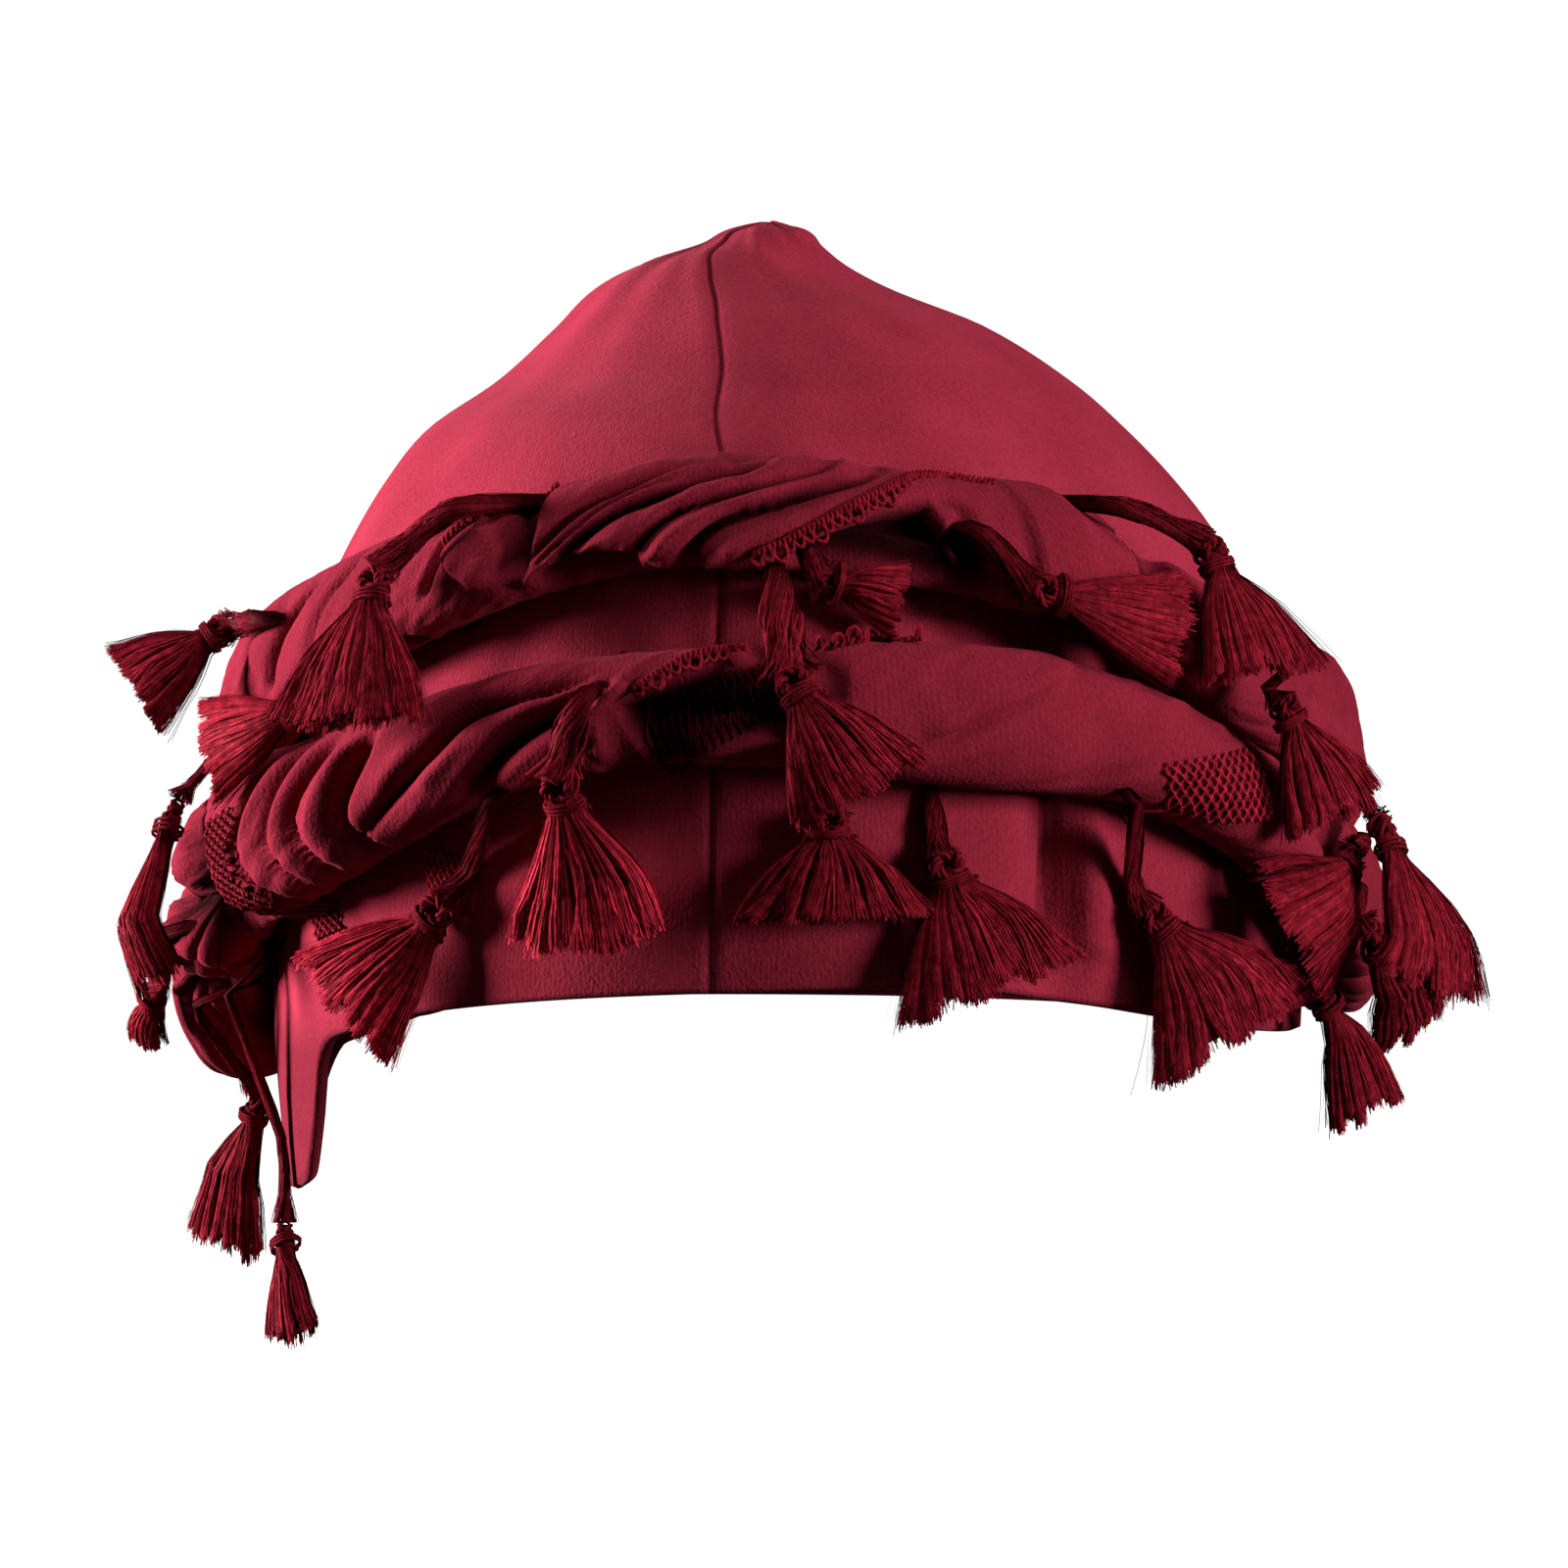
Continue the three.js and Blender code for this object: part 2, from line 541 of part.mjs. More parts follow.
// Stand of a tassel's middle line along its steps, clear of all that it hangs over
function tasselStands(row, meshes) {
  const path = tasselPath(row);
  const length = path(0).distanceTo(path(1)) + path(1).distanceTo(path(2));
  const outSlope = (row.out[1] - row.out[0]) / path(1).distanceTo(path(2));
  const level = 1 / Math.hypot(1, outSlope);
  const steps = [];
  for (let i = 0; i <= TASSEL_SAMPLES; i += 1) steps.push((2 * i) / TASSEL_SAMPLES);
  const stands = [];
  steps.forEach((step, i) => {
    const { x: angle, y: z } = path(step);
    const ahead = path(Math.min(step + TASSEL_LOOK, 2)).sub(path(Math.max(step - TASSEL_LOOK, 0)));
    const arc = THREE.MathUtils.degToRad(ahead.x) * REACH_HALF_WIDTH;
    const along = new THREE.Vector2(arc, ahead.y).normalize();
    const turn = skirtTurn(row, step);
    const halfWidth = skirtHalfWidth(row, step);
    const flatWidth = halfWidth * Math.cos(turn);
    const depth = halfWidth * Math.abs(Math.sin(turn)) * level + tasselHalfThick(step);
    let stand = FREE_STAND;
    for (let ray = 0; ray < TASSEL_RAYS; ray += 1) {
      const across = flatWidth * ((2 * ray) / (TASSEL_RAYS - 1) - 1);
      const rayAngle = angle + arcAngle(across * along.y);
      stand = Math.max(stand, surfaceStand(meshes, rayAngle, z - across * along.x));
    }
    stands.push(stand === FREE_STAND ? stands[i - 1] : stand + depth + PIECE_GAP);
  });
  const fall = (TASSEL_SLOPE * length) / TASSEL_SAMPLES;
  for (let i = 1; i < stands.length; i += 1) stands[i] = Math.max(stands[i], stands[i - 1] - fall);
  for (let i = stands.length - 2; i >= 0; i -= 1) stands[i] = Math.max(stands[i], stands[i + 1] - fall);
  return stands.map((stand, i) => stand + tasselOut(row, steps[i]));
}

function tasselGeometry(row, meshes) {
  const path = tasselPath(row);
  const stands = tasselStands(row, meshes);
  const place = (step) => {
    const { x: angle, y: z } = path(step);
    const at = (step * TASSEL_SAMPLES) / 2;
    const low = Math.min(Math.floor(at), TASSEL_SAMPLES - 1);
    return reachPoint(angle, z, THREE.MathUtils.lerp(stands[low], stands[low + 1], at - low));
  };
  const rings = TASSEL_ROWS.map((size) => {
    const centre = place(size.step);
    const before = place(Math.max(size.step - 2 * TASSEL_LOOK, 0));
    const along = place(Math.min(size.step + 2 * TASSEL_LOOK, 2)).sub(before).normalize();
    const side = outward(path(size.step).x).cross(along).normalize();
    side.applyAxisAngle(along, skirtTurn(row, size.step));
    const over = along.clone().cross(side);
    const halfWidth = skirtHalfWidth(row, size.step);
    const ring = [];
    for (let j = 0; j < TASSEL_SIDES; j += 1) {
      const turn = (2 * Math.PI * j) / TASSEL_SIDES;
      const inLock = j % 2 === 0 ? 1 : 1 - size.lock;
      const jag = size.step === 2 && j % 2 === 1 ? -TASSEL_TIP_JAG : 0;
      const point = centre.clone().addScaledVector(side, halfWidth * Math.cos(turn) * inLock);
      point.addScaledVector(over, size.half_thick * Math.sin(turn) * inLock);
      ring.push(point.addScaledVector(along, jag));
    }
    return ring;
  });
  return loftOpen(rings);
}

// Materials
function jersey(color) {
  return new THREE.MeshStandardMaterial({ color, roughness: 0.85, metalness: 0 });
}

const capMaterial = jersey('#8f2036');
const scarfMaterial = jersey('#7a182a');
const threadMaterial = new THREE.MeshStandardMaterial({ color: '#650f1c', roughness: 0.6, metalness: 0 });

// The whole turban
const turban = new THREE.Group();

function addPiece(name, geometry, material) {
  geometry.computeVertexNormals();
  const mesh = new THREE.Mesh(geometry, material.clone());
  mesh.name = name;
  turban.add(mesh);
}

addPiece('crown', capGeometry(), capMaterial);
addPiece('upper_wrap', rollGeometry(ROLLS.upper), scarfMaterial);
addPiece('lower_wrap', rollGeometry(ROLLS.lower), scarfMaterial);
EDGE_ROWS.forEach((row) => {
  addPiece(row.name, edgeGeometry(row, turban.children), threadMaterial);
});
TASSELS.forEach((row) => {
  const tassel = { ...PLAIN_TASSEL, ...row };
  addPiece(`tassel_${row.name}`, tasselGeometry(tassel, turban.children), threadMaterial);
});

export default turban;
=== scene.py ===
"""A pre-tied burgundy turban: a jersey cap wound with two turns of a twisted scarf with tassels.

Lengths in the tables are millimetres in the part's own frame: +Z up, front towards -Y.
Angles are degrees round the head from the middle of the front, positive towards +X.
"""

import math

import bpy
import numpy as np
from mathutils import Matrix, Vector
from mathutils.bvhtree import BVHTree


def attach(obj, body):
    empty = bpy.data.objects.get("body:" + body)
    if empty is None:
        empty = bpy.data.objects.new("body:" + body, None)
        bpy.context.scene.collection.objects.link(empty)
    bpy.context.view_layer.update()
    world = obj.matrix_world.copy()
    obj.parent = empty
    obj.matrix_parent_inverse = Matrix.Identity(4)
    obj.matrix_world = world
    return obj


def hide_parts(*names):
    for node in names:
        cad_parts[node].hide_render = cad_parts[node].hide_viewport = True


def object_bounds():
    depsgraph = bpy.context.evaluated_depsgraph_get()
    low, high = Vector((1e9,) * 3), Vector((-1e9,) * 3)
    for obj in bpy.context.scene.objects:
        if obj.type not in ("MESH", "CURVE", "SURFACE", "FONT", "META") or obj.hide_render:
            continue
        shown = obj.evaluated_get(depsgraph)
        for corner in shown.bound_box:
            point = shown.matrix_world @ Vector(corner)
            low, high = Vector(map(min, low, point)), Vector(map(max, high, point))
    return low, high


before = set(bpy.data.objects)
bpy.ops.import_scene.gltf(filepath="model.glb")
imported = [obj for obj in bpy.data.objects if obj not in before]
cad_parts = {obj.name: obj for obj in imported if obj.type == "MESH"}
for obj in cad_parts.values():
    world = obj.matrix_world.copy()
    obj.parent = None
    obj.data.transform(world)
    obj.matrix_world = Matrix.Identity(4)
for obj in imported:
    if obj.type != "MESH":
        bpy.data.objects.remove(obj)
CAD_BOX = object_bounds()
MM = 0.001
SEED = 7
TINY = 1e-9
FAR = 1e9


def columns(names, text):
    """A short table of numbers as a dictionary of named columns."""
    values = np.array([line.split() for line in text.strip().splitlines()], float)
    return dict(zip(names.split(), values.T))


def line_rows(names, text):
    """Rows of named sizes, each with a line of (angle, height) points after its colon."""
    rows = []
    for row in text.strip().splitlines():
        sizes, line = row.split(":")
        values = dict(zip(names.split(), map(float, sizes.split())))
        values["line"] = np.array([point.split() for point in line.split(",")], float)
        rows.append(values)
    return rows


def named_lines(names, text):
    """The same for rows that each start with a name, as a dictionary."""
    rows = [row.split(maxsplit=1) for row in text.strip().splitlines()]
    return {name: line_rows(names, row)[0] for name, row in rows}


# Shape of the cap by height, and the height of its lower edge
CAP_ROWS = columns("z half_width half_length lean set_back seam_angle", """
    -48    80    95    0     0  0
    -15    83.5  97.5  0     0  0
    20     84    98    0     0  0
    45     80.5  95    0     1  0
    60     77    90    0     2  0
    73     70.7  83   -0.9   3  0
    82     64.7  75.5 -1.8   4  0
    90     57.6  66   -2.3   5 -2
    98     47.2  54   -1.2   6 -4.6
    107    35.3  40   -3.8   6 -6.2
    113    25    29   -8.5   6 -3.5
    117    17.8  22   -8.8   6 -8
    120.5  10.2  15   -5.2   6 -30
    123.2  6.6   9    -4     6 -45
    124.6  0.5   1    -4     6 -45
""")
HEM_ROWS = columns("angle z", """
    -180 -5
    -130 -6
    -106 -12
    -93  -27
    -80  -33
    -63  -31.5
    -58  -23
    -54  -11
    -47  -7
    -28  -2.5
    0     0
    30    0
    60   -6
    90   -8
    180  -5
""")
CAP_DENTS = columns("angle z depth angle_spread z_spread", """
    38  14 -4   4.5 22
    57  12  3   8   18
    -45 8   2.5 12  16
""")
CAP_PEAK = (-4, 6, 124.6)
CAP_WALL = 2
CAP_COLUMNS = 360
CAP_SKIRT_ROWS = 34
CAP_DOME_ROWS = 78
CAP_INNER_STEP = 4
DOME_START = 20
SEAM_DEPTH = 0.5
SEAM_WIDTH = 0.5
SEAM_PUFF = 0.07
SEAM_PUFF_WIDTH = 2.6
HEM_ROUND = 0.5
CAP_SOFTNESS = 0.35
CAP_SOFT_LENGTH = 34
CAP_SOFT_FADE = (-40, 10)
SEAM_DARK = 0.5
# Painted shade: the cap's colour darkens in its fold valleys and on the flaps below the hem
CREASE_PAINTED_SHADE = 0.12
CREASE_SHADE_DEEPEST = 4
FLAP_PAINTED_SHADE = 0.42
FLAP_SHADE_FADE = (2, 12)
INSIDE_TONE = 0.8

# Shape of the two rolls of the scarf by angle
ROLL_COLUMNS = "angle z half_height half_depth twist fold"
UPPER_ROWS = columns(ROLL_COLUMNS, """
    -180 42   16   6.5 -900 1.0
    -135 41   16.5 6.5 -675 1.0
    -90  40.5 17   6.4 -450 0.9
    -60  50.8 13   6.6 -320 1.1
    -35  63.2 10.3 6.8 -215 1.5
    -18  70   8.8  7    -90 1.4
    0    74.3 9.3  7    0   1.3
    30   69.5 9.6  7    112 0.7
    42   66.3 10.8 7    160 0.5
    60   51.3 11   6.5  250 0.8
    90   39.3 14.8 6.4  420 0.9
    135  41   16.5 6.5  660 1.0
    180  42   16   6.5  900 1.0
""")
LOWER_ROWS = columns(ROLL_COLUMNS, """
    -180 10.5 14.5 7   -900 1.0
    -135 8    15   7.4 -690 1.0
    -90  2    19   8.7 -520 0.9
    -62  20.5 14   8.6 -390 1.6
    -46  26   13   8   -215 1.6
    -20  39.8 9.4  7   -100 1.3
    0    43.6 9    6.8  20  1.0
    26   42   11   7    110 0.5
    45   38   9.8  7    150 0.5
    60   28.2 10.2 7    230 0.8
    90   9.5  14   7.2  400 1.0
    135  9.7  14.3 7    670 1.0
    180  10.5 14.5 7    900 1.0
""")
UPPER_PHASE = -75
LOWER_PHASE = 50
ROLL_STATIONS = 550
ROLL_POINTS = 98
ROLL_FOLDS = 6
ROLL_SQUARENESS = 0.82
ROLL_LEAN = 0.85
FRONT_DENSITY = 0.42
PIECE_GAP = 0.45
MM_PER_DEGREE = 1.75
CALM_ANGLE = 52
CALM_SPREAD = 24
BROAD_PLEAT = 0.9
BROAD_SHARPNESS = 1.5
FINE_PLEAT = 0.7
FINE_SHARPNESS = 2
PLEAT_WANDER = 0.5
PLEAT_WAVES = 5
FOLDED_FRONT = (-0.3, 0.2)
ROUGHNESS = 0.16
ROUGH_LENGTH = 7
ROUGH_MM_PER_DEGREE = 0.3
CLOTH_RADIUS = 10
# Painted shade: the rolls' colour darkens in their fold valleys and pleats
VALLEY_PAINTED_SHADE = 0.93
SHADED_VALLEY_DEPTHS = (0.6, 6)

# Folds drawn as lines of (angle, height). Valleys sink below the surface, ridges stand above
# it, and at a step the cloth on the line's right lies over the cloth on its left.
VALLEY_SIZES = "depth width floor"
RIDGE_SIZES = "height width"
STEP_SIZES = "height width drop drop_width"
FOLD_LINE_POINTS = 8
FOLD_ENDS = (-0.06, 0.14)
BANK_ROUND = 0.98
STEP_BLEND = 0.8
CAP_FOLDS = {
    "valleys": line_rows(VALLEY_SIZES, """
        2.6 3.0 0.3 : 52 28, 59 23, 65 18, 66 10, 64 0
        2.4 3.0 0.8 : 38 34, 38 20, 37 2
    """),
    "ridges": line_rows(RIDGE_SIZES, """
        2.2 3.4 : 42.6 28, 42.4 4
        1.6 5   : 57 20, 57 6
    """),
}
UPPER_FOLDS = {
    "valleys": line_rows(VALLEY_SIZES, """
        3.6 2.2 0.3 : -20.4 62.5, -14.8 73.5, -8.1 79.5, -2.4 82.8, 8.8 83.5
        3.0 1.6 0.2 : -18.2 64.5, -12.0 74.5, -5.8 79.1, 2.1 82.3
        5.6 2.8 0.5 : -17.1 62.5, -11.4 72, -5.8 76.5, -1.3 79.8, 6.6 82.5
        5.0 2.4 0.3 : -9.2 62.5, -4.7 71.7, -0.2 75.3, 6.6 78.7, 14.4 81.5
        5.6 2.6 0.7 : -3.5 62.5, 0.9 70.8, 6.6 74.5, 11.1 77.3, 18.9 80.3
        6.0 4.5 1.4 : -22.7 81.5, -20.8 72.5, -20.4 62.5
        3.6 1.8 0.3 : -27.2 77.5, -29.4 69.5, -30.6 60.5
        4.0 3.5 2.0 : -18.2 60.5, -12.6 64, -6.9 63.5
        9.0 2.4 4.4 : 8.5 61, 16 66.5, 24.5 71.5
        9.0 2.0 3.8 : 12 59, 19 62.5, 26 64.5
        7.0 2.4 2.4 : 24.6 71.5, 26.8 65.5, 26.8 58.5
        4.5 2.6 0.4 : 40.3 77.5, 44.8 72.5, 46.6 66.5, 44.8 58.5
        8.0 2.0 4.2 : 47.8 76.5, 50.3 67, 49.5 55.5
        1.4 2.0 0   : 68.5 46.5, 77.5 43.5, 84.2 40.5
        4.6 2.2 0.4 : -49.7 64.5, -53.0 55.5, -54.2 46.5
        2.6 2.4 0   : -42.9 68.5, -46.3 58.5, -46.3 49.5
        2.8 2.4 0   : -59.8 60.5, -63.2 50.5, -64.3 40.5
    """),
    "ridges": line_rows(RIDGE_SIZES, """
        3.0 4.2 : -24.6 72.5, -27.4 64.5
        1.2 1.8 : -21.6 68.5, -24.9 62.5
        0.9 1.5 : -12.6 69.5, -6.9 76.5, -0.2 80.1, 7.7 82.5
        1.3 2.0 : -6.9 66.5, -2.4 72, 3.2 75.5, 11.1 79.3, 16.7 81.1
        1.5 2.2 : -0.2 66.5, 6.6 70.7, 13.3 75.5, 20.1 79.5
        2.4 8.0 : 32.5 69.5, 40.3 68.5
        1.2 2.0 : 17.8 61.5, 26.8 62, 34.7 59.5
        1.4 4.0 : -55.3 60.5, -58.7 50.5
    """),
}
LOWER_FOLDS = {
    "valleys": line_rows(VALLEY_SIZES, """
        3.4 3.0 0.2 : -35 22, -27 35, -22 42.5, -11 48
        5.0 3.0 0.6 : -24 27, -19 36, -15 41, -9 47
        5.0 2.0 0.3 : -46.5 37, -50.3 29.2, -51.5 21.8, -48.6 15.4, -44 11
        4.2 1.9 0   : -42.6 39, -46 29.2, -46 21.9, -42 15.5
        4.4 1.9 0   : -38.6 39, -42.1 29.3, -42.1 23.8, -38.5 17
        6.5 2.2 0.8 : -34 39, -36.6 29.3, -36.2 23.8, -33.5 19
        5.0 3.0 6.0 : -66 30, -62 20, -58 8, -48 -4
        7.0 2.4 2.2 : -85.8 17.1, -66 11.5, -54 8.5, -45 2.6
        6.0 2.2 1.6 : -80 2, -66 -4, -54 -9
        11  2.0 6.4 : -7 38, -1.1 42.4, 5.1 46, 9 47.2
        2.0 2.6 0   : 60 30, 66 24, 70 16
        2.0 2.6 0   : 68 34, 74 25, 78 14
    """),
    "ridges": line_rows(RIDGE_SIZES, """
        1.0 2.0 : -33 30, -28 38, -21 46, -12 49.5
        1.0 2.0 : -28 31, -22 39, -15 45
        1.2 1.6 : -44.6 37, -48.3 29, -48.8 22, -45.5 15.6
        1.2 1.5 : -40.6 38.5, -44 29.2, -44 22.8, -40.5 16.5
        1.4 1.6 : -36.4 38, -39.4 29.3, -39.2 23.8, -36.2 19
        2.2 1.8 : -7 47, -10 42, -9.5 33
        2.0 2.0 : -6 33, -1 36.4, 6 41.4
        3.4 2.4 : -73 11, -66 7, -57.6 2.9, -48 -2
        2.4 2.0 : -76 0, -66 -3, -56 -8
    """),
    "steps": line_rows(STEP_SIZES, """
        1.4 6 1.1 1.4 : 37 50, 31 45, 26 42, 20 38
    """),
}

# Half sizes along a tassel
TASSEL_ROWS = columns("step half_width half_thick", """
    0     2.2  0.8
    0.5   2    0.9
    0.86  2.3  1.1
    0.98  3.4  2.4
    1.14  3.5  2.5
    1.26  3.5  1.9
    1.6   7.3  2.3
    2     10.4 2.2
""")

# Sizes of each tassel, and its line from the root to the knot and the tip
TASSELS = named_lines("width knot_out tip_out turn", """
    left_pale       0.85 0   0     0 : -36 54, -44 44.3, -55.2 37.1
    left_large      1.3  0   0   -20 : -23.5 76, -36.1 64.5, -33.8 40.5
    left_end        0.4  0   0   -45 : -66 9, -77.8 -1.6, -81 -10.3
    left_strand     0.42 0   0   -45 : -67 43, -68 29.3, -63.9 0.4
    left_out        0.95 0   10  -30 : -56 58, -64 56.9, -66 46.6
    left_low        1.15 0   0   -20 : -21.5 31, -30.5 13.2, -40.1 -4.2
    left_middle     1.2  1   0    -8 : -11 46, -13.7 32.9, -12 6.8
    centre_small    0.56 0   0     0 : 10 68, 12.9 63, 21.8 60
    centre_low      1.38 0   0     0 : 12.5 32, 12.6 26.9, 13 11
    centre          1.15 0   0     0 : 7 65, 8.3 48.1, 14.8 29.5
    right_middle    0.85 0   0.8   0 : 27.5 74, 33.8 61.8, 49.7 55.3
    right_high      0.98 0   0    32 : 41 76, 54.5 69.1, 55.2 48.5
    right           0.92 0   0    32 : 58 49, 58.2 44.7, 61.3 26.3
    low_middle      1.48 0.8 0.8  10 : 24 31, 24.4 20.4, 29 -0.1
    low_right       1.5  0   0    22 : 42.5 31, 48.4 11.9, 55 -8.4
    right_dark      1.1  0   0    20 : 80 23, 70.1 20, 59.4 7.9
    right_low       0.68 4   8    50 : 67 4, 76.9 -0.5, 82.5 -21.3
    right_lower_out 0.75 0   0    50 : 75 16, 74.2 9, 87 -8.1
    right_out       1.05 0   5    32 : 80 31, 70 25.8, 66.5 -0.6
    left_lower      0.75 0   4   -58 : -72.5 -2.5, -78 -18.2, -82 -44
    left_lowest     0.45 0   0   -50 : -67.5 1.5, -69.7 -39.6, -64.3 -57.2
""")
REACH_HALF_WIDTH = 97
REACH_HALF_LENGTH = 113
RAY_START = 90
RAY_REACH = 125
FREE_STAND = -999
TASSEL_SLOPE = 0.55
TASSEL_SAMPLES = 30
TASSEL_RAYS = 7
SKIRT_START = 1.2
SKIRT_TURNED = 1.5
AHEAD = 0.05
FRAME_AHEAD = 0.1
ENVELOPE_SIDES = 10

# Camera in the photograph's place, and how far the floor lies below the part
CAMERA_AZIMUTH = 7
CAMERA_DISTANCE = 1400
CAMERA_HEIGHT = 31.7
CAMERA_ASIDE = -0.8
CAMERA_LENS = 195.3
CAMERA_SENSOR = 36
CAMERA_REACH = 20
FLOOR_DROP = 45


def track(table, key, column, closed=False):
    """A smooth curve through one column of a table."""
    places, values = table[key], table[column]
    runs, rises = np.diff(places), np.diff(values)
    slopes = np.empty_like(values)
    slopes[1:-1] = (values[2:] - values[:-2]) / (places[2:] - places[:-2])
    slopes[0], slopes[-1] = rises[0] / runs[0], rises[-1] / runs[-1]
    if closed:
        slopes[[0, -1]] = (rises[0] + rises[-1]) / (runs[0] + runs[-1])

    def curve(place):
        place = np.asarray(place, float)
        i = np.clip(np.searchsorted(places, place) - 1, 0, len(places) - 2)
        t = np.clip((place - places[i]) / runs[i], 0, 1)
        leave = t * (1 - t) ** 2 * runs[i] * slopes[i]
        arrive = t * t * (1 - t) * runs[i] * slopes[i + 1]
        return values[i] + rises[i] * t * t * (3 - 2 * t) + leave - arrive

    return curve


def tracks(table, key, closed=False):
    """Smooth curves through all the other columns of a table."""
    return {name: track(table, key, name, closed) for name in table if name != key}


def bell(distance, spread):
    return np.exp(-((distance / spread) ** 2))


def smooth_step(value, low, high):
    t = np.clip((value - low) / (high - low), 0, 1)
    return t * t * (3 - 2 * t)


def unit(vectors):
    return vectors / np.linalg.norm(vectors, axis=-1, keepdims=True)


def stack(*parts):
    return np.stack(np.broadcast_arrays(*parts), axis=-1)


RIPPLE_WAVES = 9
RIPPLE_LENGTHS = (0.6, 1.7)


def ripple(a, b, wavelength, seed):
    """A seeded uneven surface between about -1 and 1, from a few crossing waves."""
    rng = np.random.default_rng(seed)
    total = np.zeros(np.broadcast(a, b).shape)
    for _ in range(RIPPLE_WAVES):
        heading = rng.uniform(0, 2 * math.pi)
        length = wavelength * rng.uniform(*RIPPLE_LENGTHS)
        along = np.cos(heading) * a + np.sin(heading) * b
        total = total + np.sin(2 * math.pi * along / length + rng.uniform(0, 2 * math.pi))
    return total / math.sqrt(2 * RIPPLE_WAVES)


# Mesh helpers
def grid_faces(rows, cols, close_rows=False, close_cols=False):
    """Corner numbers (row, column) of the squares of a grid, not wrapped round."""
    i, j = np.meshgrid(np.arange(rows if close_rows else rows - 1),
                       np.arange(cols if close_cols else cols - 1), indexing="ij")
    i, j = i.ravel(), j.ravel()
    return np.stack([np.stack([i, j], -1), np.stack([i + 1, j], -1),
                     np.stack([i + 1, j + 1], -1), np.stack([i, j + 1], -1)], axis=1)


def polygons_of(faces):
    return [corners for face in faces for corners in face.tolist()]


def make_piece(name, points, faces, material, loop_uv=None, tone=None):
    """A smooth mesh object from points in millimetres and lists of equal-sided faces."""
    mesh = bpy.data.meshes.new(name)
    mesh.from_pydata(points * MM, [], polygons_of(faces), shade_flat=False)
    if loop_uv is not None:
        layer = mesh.uv_layers.new(name="cloth")
        layer.data.foreach_set("uv", loop_uv.astype(np.float32).ravel())
    if tone is not None:
        attribute = mesh.attributes.new("tone", "FLOAT", "POINT")
        attribute.data.foreach_set("value", tone.astype(np.float32))
    mesh.validate()
    mesh.materials.append(material)
    piece = bpy.data.objects.new(name, mesh)
    bpy.context.scene.collection.objects.link(piece)
    return piece


def tree_of(points, faces):
    """A search tree for rays against a mesh, in millimetres."""
    return BVHTree.FromPolygons(points.tolist(), polygons_of(faces))


class TubeSet:
    """Tubes, lofted cores and flat threads collected into one mesh, each vertex with a tone."""

    def __init__(self):
        self.points = []
        self.tones = []
        self.quads = []
        self.caps = {}
        self.count = 0

    def add_rings(self, points, tone, closed=False):
        """Adds a skin through rings of shape (place, side, 3)."""
        places, sides = points.shape[:2]
        index = self.count + np.arange(places * sides).reshape(places, sides)
        ahead = np.roll(index, -1, axis=0) if closed else index[1:]
        here = index if closed else index[:-1]
        quads = np.stack([here, np.roll(here, -1, 1), np.roll(ahead, -1, 1), ahead], axis=-1)
        self.quads.append(quads.reshape(-1, 4))
        if not closed:
            self.caps.setdefault(sides, []).extend([index[:1, ::-1], index[-1:]])
        self.points.append(points.reshape(-1, 3))
        self.tones.append(np.full(places * sides, tone, float))
        self.count += places * sides

    def add(self, path, radius, sides, facing, tone, closed=False):
        """Adds a round tube along a path of shape (place, 3); facing points off the surface."""
        if closed:
            along = unit(np.roll(path, -1, axis=0) - np.roll(path, 1, axis=0))
        else:
            along = unit(np.gradient(path, axis=0) + TINY)
        side = unit(np.cross(facing, along) + TINY)
        over = np.cross(along, side)
        turn = 2 * math.pi * np.arange(sides) / sides
        rings = side[:, None] * np.cos(turn)[:, None] + over[:, None] * np.sin(turn)[:, None]
        radius = np.broadcast_to(radius, len(path))[:, None, None]
        self.add_rings(path[:, None] + radius * rings, tone, closed)

    def add_ribbons(self, paths, half_width, facing, tones):
        """Adds flat threads along paths of shape (thread, place, 3), broad side towards facing."""
        threads, places = paths.shape[:2]
        along = unit(np.gradient(paths, axis=1) + TINY)
        side = unit(np.cross(facing, along) + TINY) * np.asarray(half_width, float)[..., None]
        index = self.count + np.arange(threads * places * 2).reshape(threads, places, 2)
        left, right = index[..., 0], index[..., 1]
        quads = np.stack([right[:, :-1], left[:, :-1], left[:, 1:], right[:, 1:]], axis=-1)
        self.quads.append(quads.reshape(-1, 4))
        self.points.append(np.stack([paths - side, paths + side], axis=2).reshape(-1, 3))
        self.tones.append(np.repeat(np.broadcast_to(tones, (threads, places)), 2))
        self.count += threads * places * 2

    def piece(self, name, material):
        faces = [np.concatenate(self.quads)]
        faces += [np.concatenate(ends) for ends in self.caps.values()]
        points, tones = np.concatenate(self.points), np.concatenate(self.tones)
        return make_piece(name, points, faces, material, tone=tones)


# Folds
def fold_line(line):
    """A smooth line through a few (angle, height) points, in flat millimetres."""
    knots = np.asarray(line, float) * [MM_PER_DEGREE, 1]
    padded = np.concatenate([[2 * knots[0] - knots[1]], knots, [2 * knots[-1] - knots[-2]]])
    parts = []
    t = np.linspace(0, 1, FOLD_LINE_POINTS, endpoint=False)[:, None]
    for a, b, c, d in zip(padded, padded[1:], padded[2:], padded[3:]):
        cubic = 3 * b - 3 * c + d - a
        square = 2 * a - 5 * b + 4 * c - d
        parts.append(0.5 * (2 * b + (c - a) * t + square * t ** 2 + cubic * t ** 3))
    return np.concatenate(parts + [knots[-1:]])


